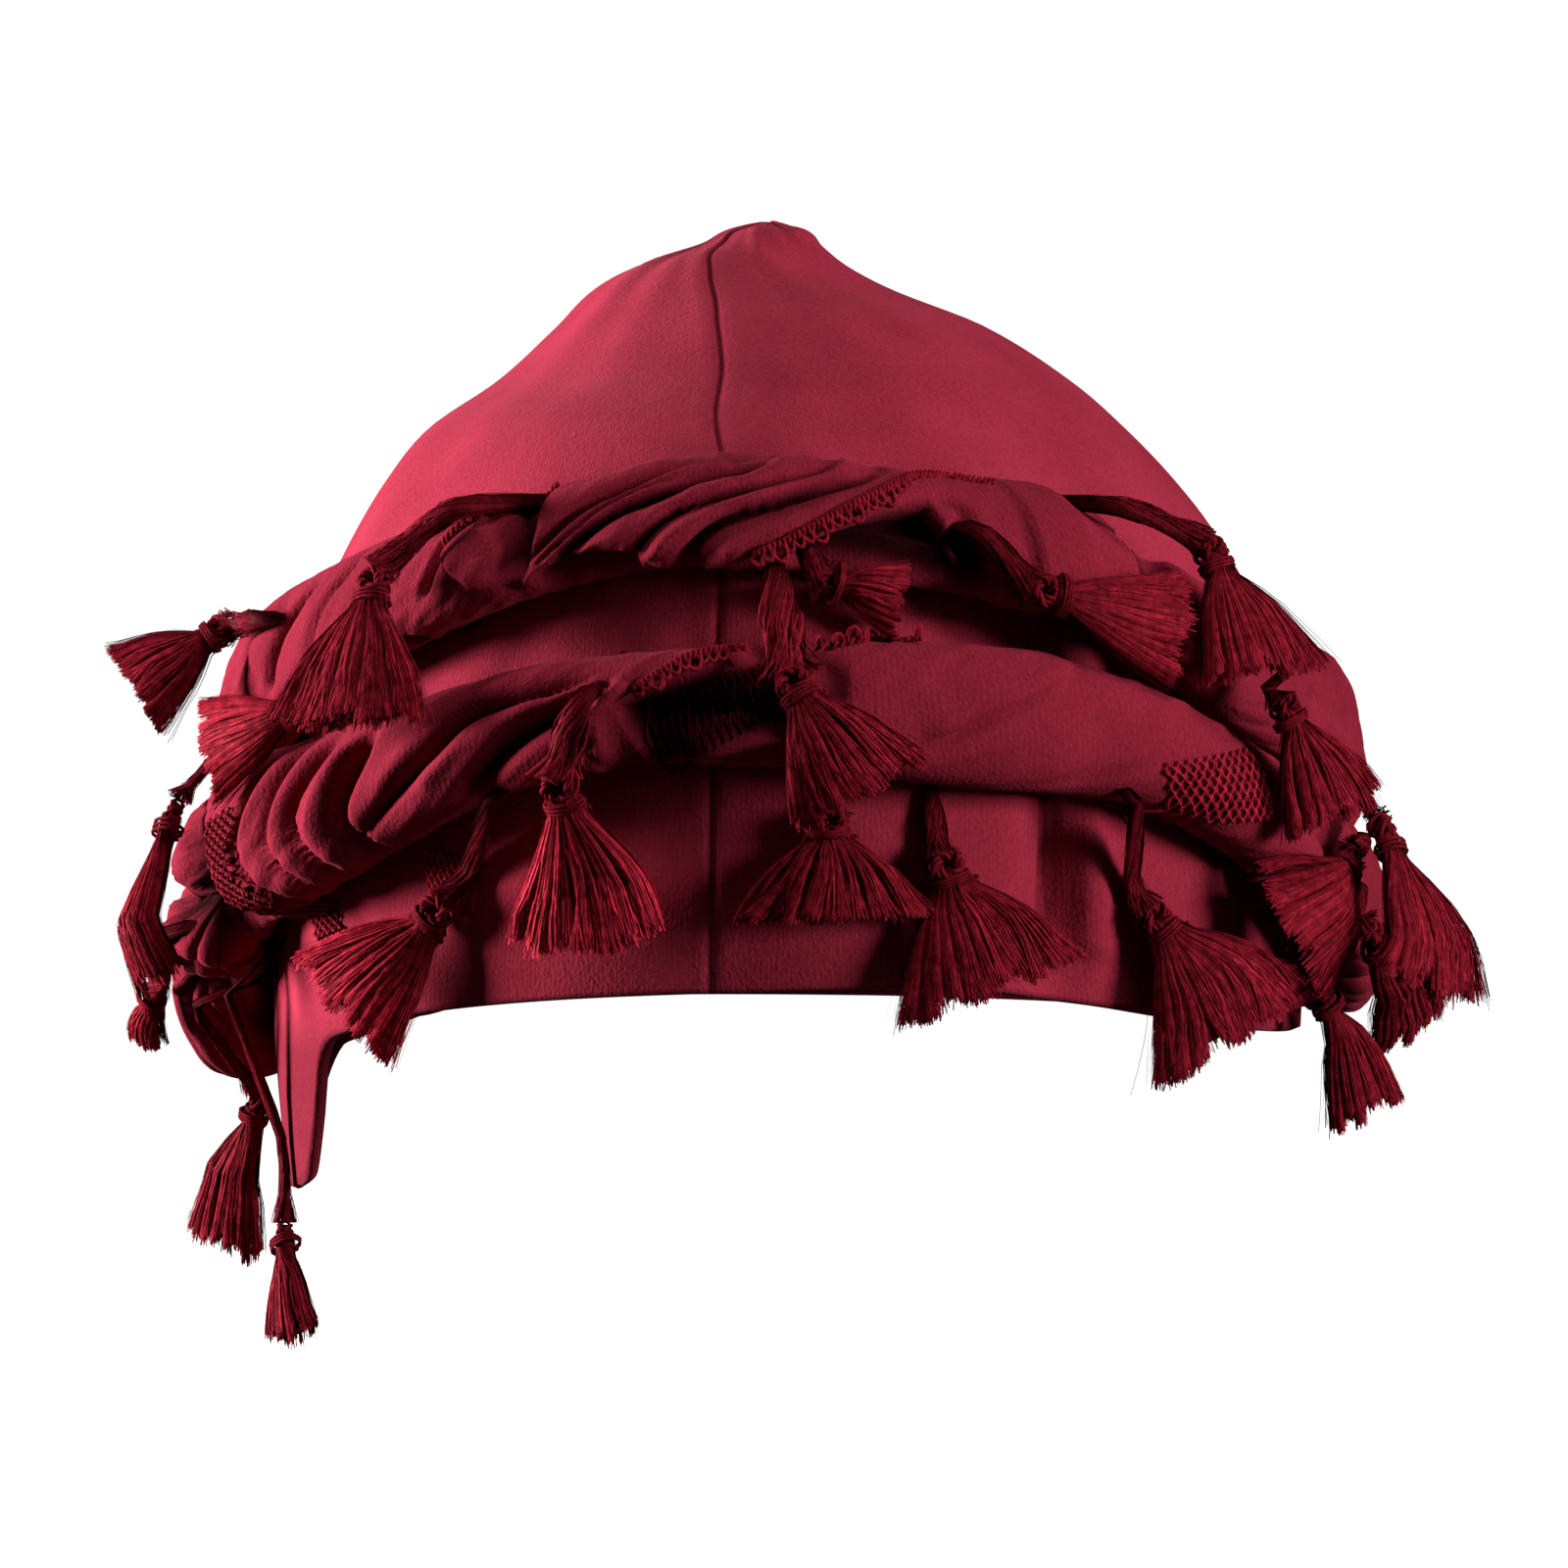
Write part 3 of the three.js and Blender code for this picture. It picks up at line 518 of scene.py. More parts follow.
def line_distance(line, flat):
    """Distance of flat points from a line, their side of it and the share along it."""
    points = fold_line(line)
    best = np.full(flat.shape[:-1], FAR)
    side = np.zeros_like(best)
    share = np.zeros_like(best)
    spans = len(points) - 1
    for i, (start, end) in enumerate(zip(points, points[1:])):
        step = end - start
        away = flat - start
        t = np.clip((away @ step) / (step @ step), 0, 1)
        gap = away - t[..., None] * step
        distance = np.hypot(gap[..., 0], gap[..., 1])
        cross = step[0] * away[..., 1] - step[1] * away[..., 0]
        nearer = distance < best
        best = np.where(nearer, distance, best)
        side = np.where(nearer, np.sign(cross), side)
        share = np.where(nearer, (i + t) / spans, share)
    return best, side, share


def end_fade(share):
    """Folds run out gently at both ends of their line."""
    return smooth_step(share, *FOLD_ENDS) * smooth_step(1 - share, *FOLD_ENDS)


def round_bank(share):
    """From 1 in a valley to 0 on top of the round bank beside it."""
    return 1 - np.sqrt(1 - (1 - share) ** 2 * BANK_ROUND)


def drawn_folds(folds, angle, z):
    """Height of drawn folds above a surface, and how deep their valleys are."""
    flat = stack(angle * MM_PER_DEGREE, z)
    sunk = np.zeros(z.shape)
    raised = np.zeros(z.shape)
    for fold in folds["valleys"]:
        distance, _, share = line_distance(fold["line"], flat)
        short = np.clip((distance - fold["floor"]) / fold["width"], 0, 1)
        sunk = np.maximum(sunk, fold["depth"] * round_bank(short) * end_fade(share))
    for fold in folds["ridges"]:
        distance, _, share = line_distance(fold["line"], flat)
        raised += fold["height"] * bell(distance, fold["width"]) * end_fade(share)
    for fold in folds.get("steps", []):
        distance, side, share = line_distance(fold["line"], flat)
        over = fold["height"] * np.exp(-distance / fold["width"])
        under = -fold["drop"] * np.exp(-distance / fold["drop_width"])
        blend = smooth_step(-side * distance, -STEP_BLEND, STEP_BLEND)
        raised += (over * blend + under * (1 - blend)) * end_fade(share)
    return raised - sunk, sunk


# The cap
CAP = tracks(CAP_ROWS, "z")
hem_height = track(HEM_ROWS, "angle", "z", closed=True)


def cap_point(angle, z):
    """Point on the cap's outer face; the seam's lean turns the angles near the front."""
    plain = np.radians(angle)
    turn = plain + np.radians(CAP["seam_angle"](z)) * (0.5 + 0.5 * np.cos(plain))
    dent = 0
    for at, height, depth, spread, rise in zip(*CAP_DENTS.values()):
        dent = dent + depth * bell(angle - at, spread) * bell(z - height, rise)
    x = CAP["lean"](z) + (CAP["half_width"](z) + dent) * np.sin(turn)
    y = CAP["set_back"](z) - (CAP["half_length"](z) + dent) * np.cos(turn)
    return stack(x, y, z)


def cap_normal(angle, z):
    step = 0.2
    across = cap_point(angle + step, z) - cap_point(angle - step, z)
    upward = cap_point(angle, z + step) - cap_point(angle, z - step)
    return unit(np.cross(across, upward))


def front_angles(count):
    """Angles round the head, closer together at the front."""
    even = math.pi * (2 * np.arange(count) / count - 1)
    return np.degrees(even - FRONT_DENSITY * np.sin(even))


def cap_heights(angle):
    """Heights of the rows of the cap above each angle, from its hem to its peak."""
    hem = hem_height(angle)
    skirt = hem + (DOME_START - hem) * (np.arange(CAP_SKIRT_ROWS) / CAP_SKIRT_ROWS)[:, None]
    rise = np.sin(0.5 * math.pi * np.arange(CAP_DOME_ROWS) / CAP_DOME_ROWS)
    dome = DOME_START + (CAP_PEAK[2] - DOME_START) * rise
    return np.concatenate([skirt, np.repeat(dome[:, None], len(angle), axis=1)])


def crown_relief(angle, z):
    """Height of the seam, the folds and the soft unevenness of the cap, and its tone, with painted shade
    in the fold valleys and on the flaps below the hem.
    """
    off_seam = np.abs(np.radians((angle + 90) % 180 - 90)) * CAP["half_width"](z)
    seam = bell(off_seam, SEAM_WIDTH)
    puff = SEAM_PUFF * bell(off_seam - SEAM_PUFF_WIDTH, SEAM_PUFF_WIDTH / 2)
    soft = CAP_SOFTNESS * ripple(angle * MM_PER_DEGREE, z, CAP_SOFT_LENGTH, SEED)
    soft = soft * smooth_step(z, *CAP_SOFT_FADE)
    drawn, valley = drawn_folds(CAP_FOLDS, angle, z)
    # Painted shade in the fold valleys and on the flaps below the hem
    tone = 1 - SEAM_DARK * seam - CREASE_PAINTED_SHADE * np.clip(valley, 0, CREASE_SHADE_DEEPEST)
    tone = tone * (1 - FLAP_PAINTED_SHADE * smooth_step(-z, *FLAP_SHADE_FADE))
    return puff - SEAM_DEPTH * seam + soft + drawn, tone


def crown_uv(corners, height):
    """Places on the cloth of the corners of the cap's squares and of the fans at its peak."""
    angle = front_angles(CAP_COLUMNS)
    turn = np.append(angle, angle[0] + 360) * MM_PER_DEGREE
    squares = np.stack([turn[corners[..., 1]], height[corners[..., 0], 0]], -1)[:, ::-1]
    fans = np.full((2, CAP_COLUMNS, 3, 2), CAP_PEAK[2], float)
    fans[..., 0] = turn[:-1, None]
    return np.concatenate([squares.reshape(-1, 2), fans.reshape(-1, 2)])


def build_crown(material):
    """The cap's outer face with its folds, a plain inner face and the hem between them."""
    angle = front_angles(CAP_COLUMNS)
    z = cap_heights(angle)
    rows = len(z)
    angle = np.broadcast_to(angle, z.shape)
    normal = cap_normal(angle, z)
    skin = cap_point(angle, z)
    relief, outer_tone = crown_relief(angle, z)
    outer = skin + normal * relief[..., None]
    inner_rows = np.unique(np.append(np.arange(0, rows, CAP_INNER_STEP), rows - 1))
    inner = (skin - CAP_WALL * normal)[inner_rows]
    hem_edge = (skin - 0.5 * CAP_WALL * normal)[:1] - [0, 0, HEM_ROUND]
    rings = np.concatenate([inner[::-1], hem_edge, outer])
    peak = np.array(CAP_PEAK, float)
    points = np.concatenate([rings.reshape(-1, 3), [peak, peak - [0, 0, CAP_WALL]]])
    corners = grid_faces(len(rings), CAP_COLUMNS, close_cols=True)
    quads = (corners[..., 0] * CAP_COLUMNS + corners[..., 1] % CAP_COLUMNS)[:, ::-1]
    first = np.arange(CAP_COLUMNS)
    last = (len(rings) - 1) * CAP_COLUMNS + first
    apex = len(points) - 2
    top = np.stack([last, np.roll(last, -1), np.full(CAP_COLUMNS, apex)], -1)
    under = np.stack([np.roll(first, -1), first, np.full(CAP_COLUMNS, apex + 1)], -1)
    height = np.concatenate([z[inner_rows][::-1], z[:1], z])
    inner_tone = np.full(inner.shape[:2], INSIDE_TONE)
    tone = np.concatenate([inner_tone, np.ones((1, CAP_COLUMNS)), outer_tone]).ravel()
    tone = np.append(tone, [1, 1])
    faces = [quads, top, under]
    piece = make_piece("crown_jersey", points, faces, material, crown_uv(corners, height), tone)
    return piece, tree_of(points, [quads])


# The rolls of the scarf
def outward(angle):
    turn = np.radians(angle)
    return unit(stack(np.sin(turn) / REACH_HALF_WIDTH, -np.cos(turn) / REACH_HALF_LENGTH, 0 * turn))


def signed_power(value, power):
    return np.sign(value) * np.abs(value) ** power


class Roll:
    """One twisted turn of the scarf round the cap."""

    def __init__(self, table, phase, folds, seed):
        self.read = tracks(table, "angle", closed=True)
        self.phase = phase
        self.folds = folds
        self.seed = seed

    def pleats(self, angle, around):
        """Depth of the twisted pleats beside and behind the head: round tops, sharp valleys."""
        turn = np.radians(around)
        wander = PLEAT_WANDER * np.sin(np.radians(angle) * PLEAT_WAVES + self.seed)
        broad = 1 - np.abs(np.sin(0.5 * ROLL_FOLDS * turn))
        fine = 1 - np.abs(np.sin(ROLL_FOLDS * turn + wander))
        away = smooth_step(np.abs(angle), CALM_ANGLE, CALM_ANGLE + CALM_SPREAD)
        depth = BROAD_PLEAT * broad ** BROAD_SHARPNESS + FINE_PLEAT * fine ** FINE_SHARPNESS
        return self.read["fold"](angle) * away * depth

    def surface(self, angle, around):
        """Points of the roll and the depth of the valleys there."""
        half_depth = self.read["half_depth"](angle)
        height = self.read["z"](angle)
        turn = np.radians(around + self.read["twist"](angle) + self.phase)
        inset = self.pleats(angle, around)
        up = (self.read["half_height"](angle) - inset) * signed_power(np.sin(turn), ROLL_SQUARENESS)
        out = (half_depth - inset) * signed_power(np.cos(turn), ROLL_SQUARENESS)
        drawn, sunk = drawn_folds(self.folds, angle, height + up)
        facing = smooth_step(np.cos(turn), *FOLDED_FRONT)
        along, across = angle * MM_PER_DEGREE, around * ROUGH_MM_PER_DEGREE
        lift = drawn * facing + ROUGHNESS * ripple(along, across, ROUGH_LENGTH, self.seed)
        up = up + lift * np.sin(turn)
        out = out + lift * np.cos(turn)
        normal = outward(angle)
        seat = cap_point(angle, height)
        slope = np.sum((cap_point(angle, height + up) - seat) * normal, axis=-1)
        stand = np.maximum(half_depth + out + ROLL_LEAN * slope, slope + PIECE_GAP)
        points = seat + normal * stand[..., None]
        points[..., 2] = height + up
        return points, sunk * facing + inset


def build_roll(name, roll, material):
    angle = front_angles(ROLL_STATIONS)[:, None]
    around = -360 * np.arange(ROLL_POINTS) / ROLL_POINTS
    angle, around = np.broadcast_arrays(angle, around)
    points, valley = roll.surface(angle, around)
    corners = grid_faces(ROLL_STATIONS, ROLL_POINTS, close_rows=True, close_cols=True)
    quads = (corners[..., 0] % ROLL_STATIONS) * ROLL_POINTS + corners[..., 1] % ROLL_POINTS
    stations = np.append(front_angles(ROLL_STATIONS), 180) * MM_PER_DEGREE
    girth = 2 * math.pi * CLOTH_RADIUS / ROLL_POINTS
    loop_uv = np.stack([stations[corners[..., 0]], corners[..., 1] * girth], -1)
    # Painted shade in the valleys of the folds and pleats
    tone = 1 - VALLEY_PAINTED_SHADE * smooth_step(valley, *SHADED_VALLEY_DEPTHS)
    flat = points.reshape(-1, 3)
    piece = make_piece(name, flat, [quads], material, loop_uv.reshape(-1, 2), tone.ravel())
    return piece, tree_of(flat, [quads])


# Tassels
def reach_point(angle, z, stand):
    """Point at a distance outside the ellipse round the rolls."""
    turn = np.radians(angle)
    base = stack(REACH_HALF_WIDTH * np.sin(turn), -REACH_HALF_LENGTH * np.cos(turn), z)
    return base + outward(angle) * np.asarray(stand, float)[..., None]


def surface_stand(trees, angle, z):
    """How far out the outermost surface stands at an angle and height."""
    start = Vector(reach_point(angle, z, RAY_START))
    inward = Vector(-outward(angle))
    stand = FREE_STAND
    for tree in trees:
        distance = tree.ray_cast(start, inward, RAY_REACH)[3]
        if distance is not None:
            stand = max(stand, RAY_START - distance)
    return stand


tassel_half_width = track(TASSEL_ROWS, "step", "half_width")
tassel_half_thick = track(TASSEL_ROWS, "step", "half_thick")


class Tassel:
    """One tassel laid on what is under it: step 0 is its root, 1 its knot and 2 its tip."""

    def __init__(self, row, trees):
        self.marks = row["line"]
        self.width = row["width"]
        self.turn = math.radians(row["turn"])
        self.knot_out = row["knot_out"]
        self.tip_out = row["tip_out"]
        self.steps = np.linspace(0, 2, TASSEL_SAMPLES + 1)
        self.stands = self.settle(trees)
        self.bed = surface_stand(trees[:1], *self.marks[0])

    def flat(self, step):
        """Angle and height at a step; steps past either end go straight on."""
        step = np.asarray(step, float)[..., None]
        upper = self.marks[0] + (self.marks[1] - self.marks[0]) * step
        lower = self.marks[1] + (self.marks[2] - self.marks[1]) * (step - 1)
        return np.where(step < 1, upper, lower)

    def half_width(self, step):
        return tassel_half_width(step) * np.where(np.asarray(step) > SKIRT_START, self.width, 1)

    def skirt_turn(self, step):
        return self.turn * smooth_step(np.asarray(step, float), 1, SKIRT_TURNED)

    def settle(self, trees):
        """Distance of the middle line off the reach ellipse at each step."""
        leg = np.linalg.norm(np.diff(self.marks, axis=0), axis=1)
        level = 1 / math.hypot(1, (self.tip_out - self.knot_out) / leg[1])
        stands = []
        for step in self.steps:
            angle, z = self.flat(step)
            ahead = self.flat(min(step + AHEAD, 2)) - self.flat(max(step - AHEAD, 0))
            along = unit(ahead * [math.radians(1) * REACH_HALF_WIDTH, 1])
            turn = float(self.skirt_turn(step))
            half_width = float(self.half_width(step))
            depth = half_width * abs(math.sin(turn)) * level + float(tassel_half_thick(step))
            stand = FREE_STAND
            for share in np.linspace(-1, 1, TASSEL_RAYS):
                across = half_width * math.cos(turn) * share
                aside = math.degrees(across * along[1] / REACH_HALF_WIDTH)
                stand = max(stand, surface_stand(trees, angle + aside, z - across * along[0]))
            stands.append(stands[-1] if stand == FREE_STAND else stand + depth + PIECE_GAP)
        fall = TASSEL_SLOPE * leg.sum() / TASSEL_SAMPLES
        for i in range(1, len(stands)):
            stands[i] = max(stands[i], stands[i - 1] - fall)
        for i in range(len(stands) - 2, -1, -1):
            stands[i] = max(stands[i], stands[i + 1] - fall)
        out = np.interp(self.steps, [0, 1, 2], [0, self.knot_out, self.tip_out])
        return np.array(stands) + out

    def place(self, step):
        angle, z = np.moveaxis(self.flat(step), -1, 0)
        return reach_point(angle, z, np.interp(step, self.steps, self.stands))

    def frame(self, step):
        """Directions along, across and off the flat of the tassel."""
        step = np.asarray(step, float)
        ahead = self.place(np.minimum(step + FRAME_AHEAD, 2))
        along = unit(ahead - self.place(np.maximum(step - FRAME_AHEAD, 0)))
        side = unit(np.cross(outward(self.flat(step)[..., 0]), along))
        over = np.cross(along, side)
        turn = self.skirt_turn(step)[..., None]
        side = side * np.cos(turn) + over * np.sin(turn)
        return along, side, np.cross(along, side)

    def spread(self, step, across, over):
        """Points at shares of the half sizes away from the middle line."""
        _, side, up = self.frame(step)
        wide = (across * self.half_width(step))[..., None]
        thick = (over * tassel_half_thick(step))[..., None]
        return self.place(step) + side * wide + up * thick

    def envelope(self):
        """The tassel's outer form, for what is laid over it later."""
        step = TASSEL_ROWS["step"][:, None]
        turn = 2 * math.pi * np.arange(ENVELOPE_SIDES) / ENVELOPE_SIDES
        points = self.spread(np.repeat(step, ENVELOPE_SIDES, 1), np.cos(turn), np.sin(turn))
        corners = grid_faces(len(step), ENVELOPE_SIDES, close_cols=True)
        quads = corners[..., 0] * ENVELOPE_SIDES + corners[..., 1] % ENVELOPE_SIDES
        return tree_of(points.reshape(-1, 3), [quads])


# Core of a skirt, in steps along the tassel and shares of its half sizes
CORE_SIDES = 26
CORE_PLACES = 9
CORE_RUN = (1.12, 1.95)
CORE_WIDTH = 0.88
CORE_THICKNESS = 0.55
CORE_GROOVE = 0.2
CORE_GROOVED = (1.2, 1.7)
CORE_JAG = (-0.05, 0.02)
# The core's colour is darkened as painted shade among the threads
CORE_SHADE_TONE = 0.55


def add_core(tubes, tassel, rng):
    """The dense middle of the skirt, grooved between its locks and darkened as painted shade among the
    threads.
    """
    step = np.linspace(*CORE_RUN, CORE_PLACES)[:, None]
    turn = 2 * math.pi * np.arange(CORE_SIDES) / CORE_SIDES
    groove = 1 - CORE_GROOVE * rng.uniform(0, 1, CORE_SIDES) * smooth_step(step, *CORE_GROOVED)
    jag = np.where(step >= CORE_RUN[1], rng.uniform(*CORE_JAG, CORE_SIDES), 0)
    across = CORE_WIDTH * np.cos(turn) * groove
    rings = tassel.spread(step + jag, across, CORE_THICKNESS * np.sin(turn) * groove)
    tubes.add_rings(rings, CORE_SHADE_TONE)


# Threads of a skirt: how many, their locks, their own ways and their tones, with painted shade at the
# lock edges and near the knot and painted light on the lock tops, towards the tip and on whole skirts
SKIRT_STRANDS = 1400
SKIRT_LEAST_WIDTH = 0.5
SKIRT_CROWDING = 0.8
SKIRT_PLACES = 7
SKIRT_LOCKS = 13
LOCK_REACH = 0.92
LOCK_SCATTER = 0.04
LOCK_ENDS = (1.88, 2.02)
LOCK_BEND = 0.06
LOCK_SWING = 3.4
LOCK_SPREAD = 0.068
LOCK_RADIUS = 0.16
LOCK_HEIGHT = 0.5
LOCK_ROUND = 50
CLUMP_ENDS = 1.15
CLUMP_WAIST = 0.4
NECK_GATHER = 0.6
NECK_LENGTH = 0.4
FAN_ROUND = 35
FAN_REACH = 1.1
FAN_EDGE = 0.03
FRONT_SHARE = 0.72
FRONT_OVER = (0.3, 0.55)
BACK_OVER = (-1, -0.3)
STRAND_START = 1.1
STRAND_ENDS = 0.028
STRAND_LONGEST = 2.06
STRAND_HALF_WIDTH = 0.12
STRAND_TAPER = (1.1, 0.85)
STRAND_WAVE = 0.022
STRAND_WAVES = (3, 7)
STRAND_WAVE_OVER = 2.5
STRAY_SHARE = 0.05
STRAY_LOOSE = 1.7
# Painted light: these skirts are made lighter as a whole, standing in for light falling on them
SKIRT_PAINTED_LIGHT = {"left_middle": 2.3, "left_low": 1.9, "left_pale": 1.3}
LOCK_TONES = (0.8, 1.2)
LOCK_SHADED_EDGE_TONE = 0.6
LOCK_LIT_TOP_TONE = 0.45
STRAND_TONES = (0.7, 1.3)
SKIRT_SHADED_NECK_TONE = 0.5
SKIRT_LIT_TIP_TONE = 0.6
SKIRT_LIT_TIP_FROM = 0.6


def add_skirt(tubes, tassel, tone, rng):
    """Fine flat threads in soft locks from the knot down to an uneven end."""
    count = int(SKIRT_STRANDS * max(tassel.width, SKIRT_LEAST_WIDTH) ** SKIRT_CROWDING)
    lock = rng.integers(SKIRT_LOCKS, size=count)
    lock_across = np.linspace(-LOCK_REACH, LOCK_REACH, SKIRT_LOCKS)
    lock_across = (lock_across + rng.normal(0, LOCK_SCATTER, SKIRT_LOCKS))[lock]
    lock_end = rng.uniform(*LOCK_ENDS, SKIRT_LOCKS)[lock]
    lock_tone = rng.uniform(*LOCK_TONES, SKIRT_LOCKS)[lock]
    lock_bend = rng.normal(0, LOCK_BEND, SKIRT_LOCKS)[lock, None]
    lock_phase = rng.uniform(0, 2 * math.pi, SKIRT_LOCKS)[lock, None]
    loose = np.where(rng.uniform(size=count) < STRAY_SHARE, STRAY_LOOSE, 1)[:, None]
    share = np.linspace(0, 1, SKIRT_PLACES)
    gather = NECK_GATHER + (1 - NECK_GATHER) * smooth_step(share, 0, NECK_LENGTH)
    clump = CLUMP_ENDS - CLUMP_WAIST * np.sin(math.pi * share)
    offset = rng.normal(0, LOCK_SPREAD, count)
    own = offset[:, None] * clump * loose
    sway = lock_bend * np.sin(LOCK_SWING * share + lock_phase) * share
    swing = loose * rng.normal(0, STRAND_WAVE, count)[:, None]
    wave = swing * np.sin(share * rng.uniform(*STRAND_WAVES, count)[:, None])
    across = lock_across[:, None] * gather + own + sway + wave
    round_edge = np.sqrt(np.clip(1 - (lock_across / FAN_REACH) ** 2, FAN_EDGE, 1))
    front = rng.uniform(size=count) < FRONT_SHARE
    lock_round = np.sqrt(np.clip(1 - (offset / LOCK_RADIUS) ** 2, 0, 1))
    front_over = rng.uniform(*FRONT_OVER, count) + LOCK_HEIGHT * lock_round
    over = round_edge * np.where(front, front_over, rng.uniform(*BACK_OVER, count))
    end = np.minimum(lock_end + rng.normal(0, STRAND_ENDS, count), STRAND_LONGEST)
    step = STRAND_START + (end[:, None] - STRAND_START) * share
    wave_over = STRAND_WAVE_OVER * wave[:, ::-1]
    paths = tassel.spread(step, across, over[:, None] * gather + wave_over)
    lean = LOCK_ROUND * np.clip(offset / LOCK_RADIUS, -1, 1) + FAN_ROUND * lock_across
    slope = np.radians(lean)[:, None, None]
    _, side, up = tassel.frame(step)
    facing = side * np.sin(slope) + np.where(front[:, None, None], 1, -1) * up * np.cos(slope)
    # Painted shade at the lock edges, painted light on the lock tops
    lock_tone = lock_tone * (LOCK_SHADED_EDGE_TONE + LOCK_LIT_TOP_TONE * lock_round)
    tones = (lock_tone * rng.uniform(*STRAND_TONES, count))[:, None] * tone
    # Painted shade near the knot, painted light towards the tip
    tones = tones * (SKIRT_SHADED_NECK_TONE + SKIRT_LIT_TIP_TONE * smooth_step(share, 0, SKIRT_LIT_TIP_FROM))
    half_width = STRAND_HALF_WIDTH * np.linspace(*STRAND_TAPER, SKIRT_PLACES)
    tubes.add_ribbons(paths, half_width, facing, tones)


# Cords: bow, breadth and tone of those that differ, then the threads of all
CORD_LOOKS = {
    "left_large": (3.2, 1, 1),
    "right_high": (1.6, 0.85, 0.8),
    "right_middle": (1, 0.9, 0.9),
    "centre": (0, 1.6, 1.7),
    "left_middle": (0, 1.4, 1.7),
}
PLAIN_CORD = (0, 1, 1)
CORD_THREADS = 120
CORD_HALF_WIDTH = 0.14
CORD_PLACES = 11
CORD_END = 0.99
CORD_TWIST = 60
CORD_TUCK = 14
CORD_HIDDEN = 6
CORD_IN_WALL = 1
CORD_OUT = 0.1
BOWED_CORD_OUT = 0.4
CORD_FILL = (0.35, 1)
CORD_NARROWING = 0.5
CORD_BROAD_FROM = 0.6
CORD_WAVER = 0.22
CORD_WAVES = (3, 9)
CORD_SIDE_FACING = 0.6
CORD_TONES = (0.3, 0.8)
# Painted shade at the cord's root
CORD_SHADED_ROOT_TONE = 0.35
CORD_LIT_FROM = 0.5


def add_cord(tubes, tassel, look, rng):
    """A loose flat bundle of threads that comes out of the scarf and runs to the knot."""
    bow, breadth, tone = look
    length = np.linalg.norm(tassel.place(1) - tassel.place(0))
    start, out = (0, BOWED_CORD_OUT) if bow else (-CORD_HIDDEN / length, CORD_OUT)
    step = np.linspace(start, CORD_END, CORD_PLACES)
    turn = rng.uniform(size=CORD_THREADS)[:, None] + step * length / CORD_TWIST
    turn = 2 * math.pi * turn
    reach = np.sqrt(rng.uniform(*CORD_FILL, CORD_THREADS))[:, None]
    fan = breadth * (1 - CORD_NARROWING * (1 - smooth_step(step, 0, CORD_BROAD_FROM)))
    # Painted shade darkens the cord towards its root, where it goes into the scarf
    lit = smooth_step(step, 0, CORD_LIT_FROM)
    shade = tone * (CORD_SHADED_ROOT_TONE + (1 - CORD_SHADED_ROOT_TONE) * lit)
    waves = rng.uniform(*CORD_WAVES, CORD_THREADS)[:, None]
    waver = CORD_WAVER * np.sin(waves * step + turn)
    step = np.broadcast_to(step, turn.shape)
    paths = tassel.spread(step, fan * (reach * np.cos(turn) + waver), reach * np.sin(turn))
    deepest = min(CORD_TUCK, tassel.stands[0] - tassel.bed + CORD_IN_WALL)
    tuck = deepest * (1 - smooth_step(step, start, out))
    paths = paths - tuck[..., None] * outward(tassel.marks[0, 0])
    paths[..., 2] += bow * np.sin(math.pi * step)
    _, side, up = tassel.frame(step)
    facing = CORD_SIDE_FACING * side * np.cos(turn)[..., None] + up * np.sin(turn)[..., None]
    tones = rng.uniform(*CORD_TONES, CORD_THREADS)[:, None] * shade
    tubes.add_ribbons(paths, np.full(CORD_PLACES, CORD_HALF_WIDTH), facing, tones)


# Knots: each coil's scale and tilt, and the thread wound round the neck
TUBE_SIDES = 5
KNOT_STEP = 1.06
KNOT_SIZES = (0.65, 1)
KNOT_PLACES = 110
KNOT_RADIUS = 0.42
KNOT_COILS = ((1.0, 0.0), (0.8, 1.1), (0.62, 2.3))
KNOT_SCALE = (0.98, 0.85, 1.6)
KNOT_WINDS = 3
KNOT_WEAVES = 5
KNOT_RING = 2
KNOT_LEAN = 0.3
KNOT_TONE = 0.35
NECK_TURNS = 3
NECK_PLACES = 36
NECK_RADIUS = 0.3
NECK_STEP = 1.14
NECK_RUN = 0.07
NECK_REACH = 0.95
NECK_THREAD_TONE = 0.6


def add_knot(tubes, tassel):
    """The knot over the skirt, wound of thin cord, and the thread bound round its neck."""
    turn = np.linspace(0, 2 * math.pi, KNOT_PLACES, endpoint=False)
    size = np.clip(tassel.width, *KNOT_SIZES)
    along, side, over = tassel.frame(KNOT_STEP)
    for scale, tilt in KNOT_COILS:
        reach = KNOT_RING + np.cos(KNOT_WEAVES * turn)
        x = reach * np.cos(KNOT_WINDS * turn + tilt) * KNOT_SCALE[0]
        y = reach * np.sin(KNOT_WINDS * turn + tilt) * KNOT_SCALE[1]
        z = np.sin(KNOT_WEAVES * turn + tilt) * KNOT_SCALE[2]
        coil = size * scale * (x[:, None] * side + y[:, None] * along + z[:, None] * over)
        path = tassel.place(KNOT_STEP) + coil
        facing = over + KNOT_LEAN * along
        tone = KNOT_TONE + KNOT_TONE * scale
        tubes.add(path, size * KNOT_RADIUS, TUBE_SIDES, facing, tone, closed=True)
    share = np.linspace(0, 1, NECK_PLACES)
    wrap = 2 * math.pi * NECK_TURNS * share
    step = NECK_STEP + NECK_RUN * share
    neck = tassel.spread(step, NECK_REACH * np.cos(wrap), NECK_REACH * np.sin(wrap))
    tubes.add(neck, NECK_RADIUS, TUBE_SIDES, along, NECK_THREAD_TONE)


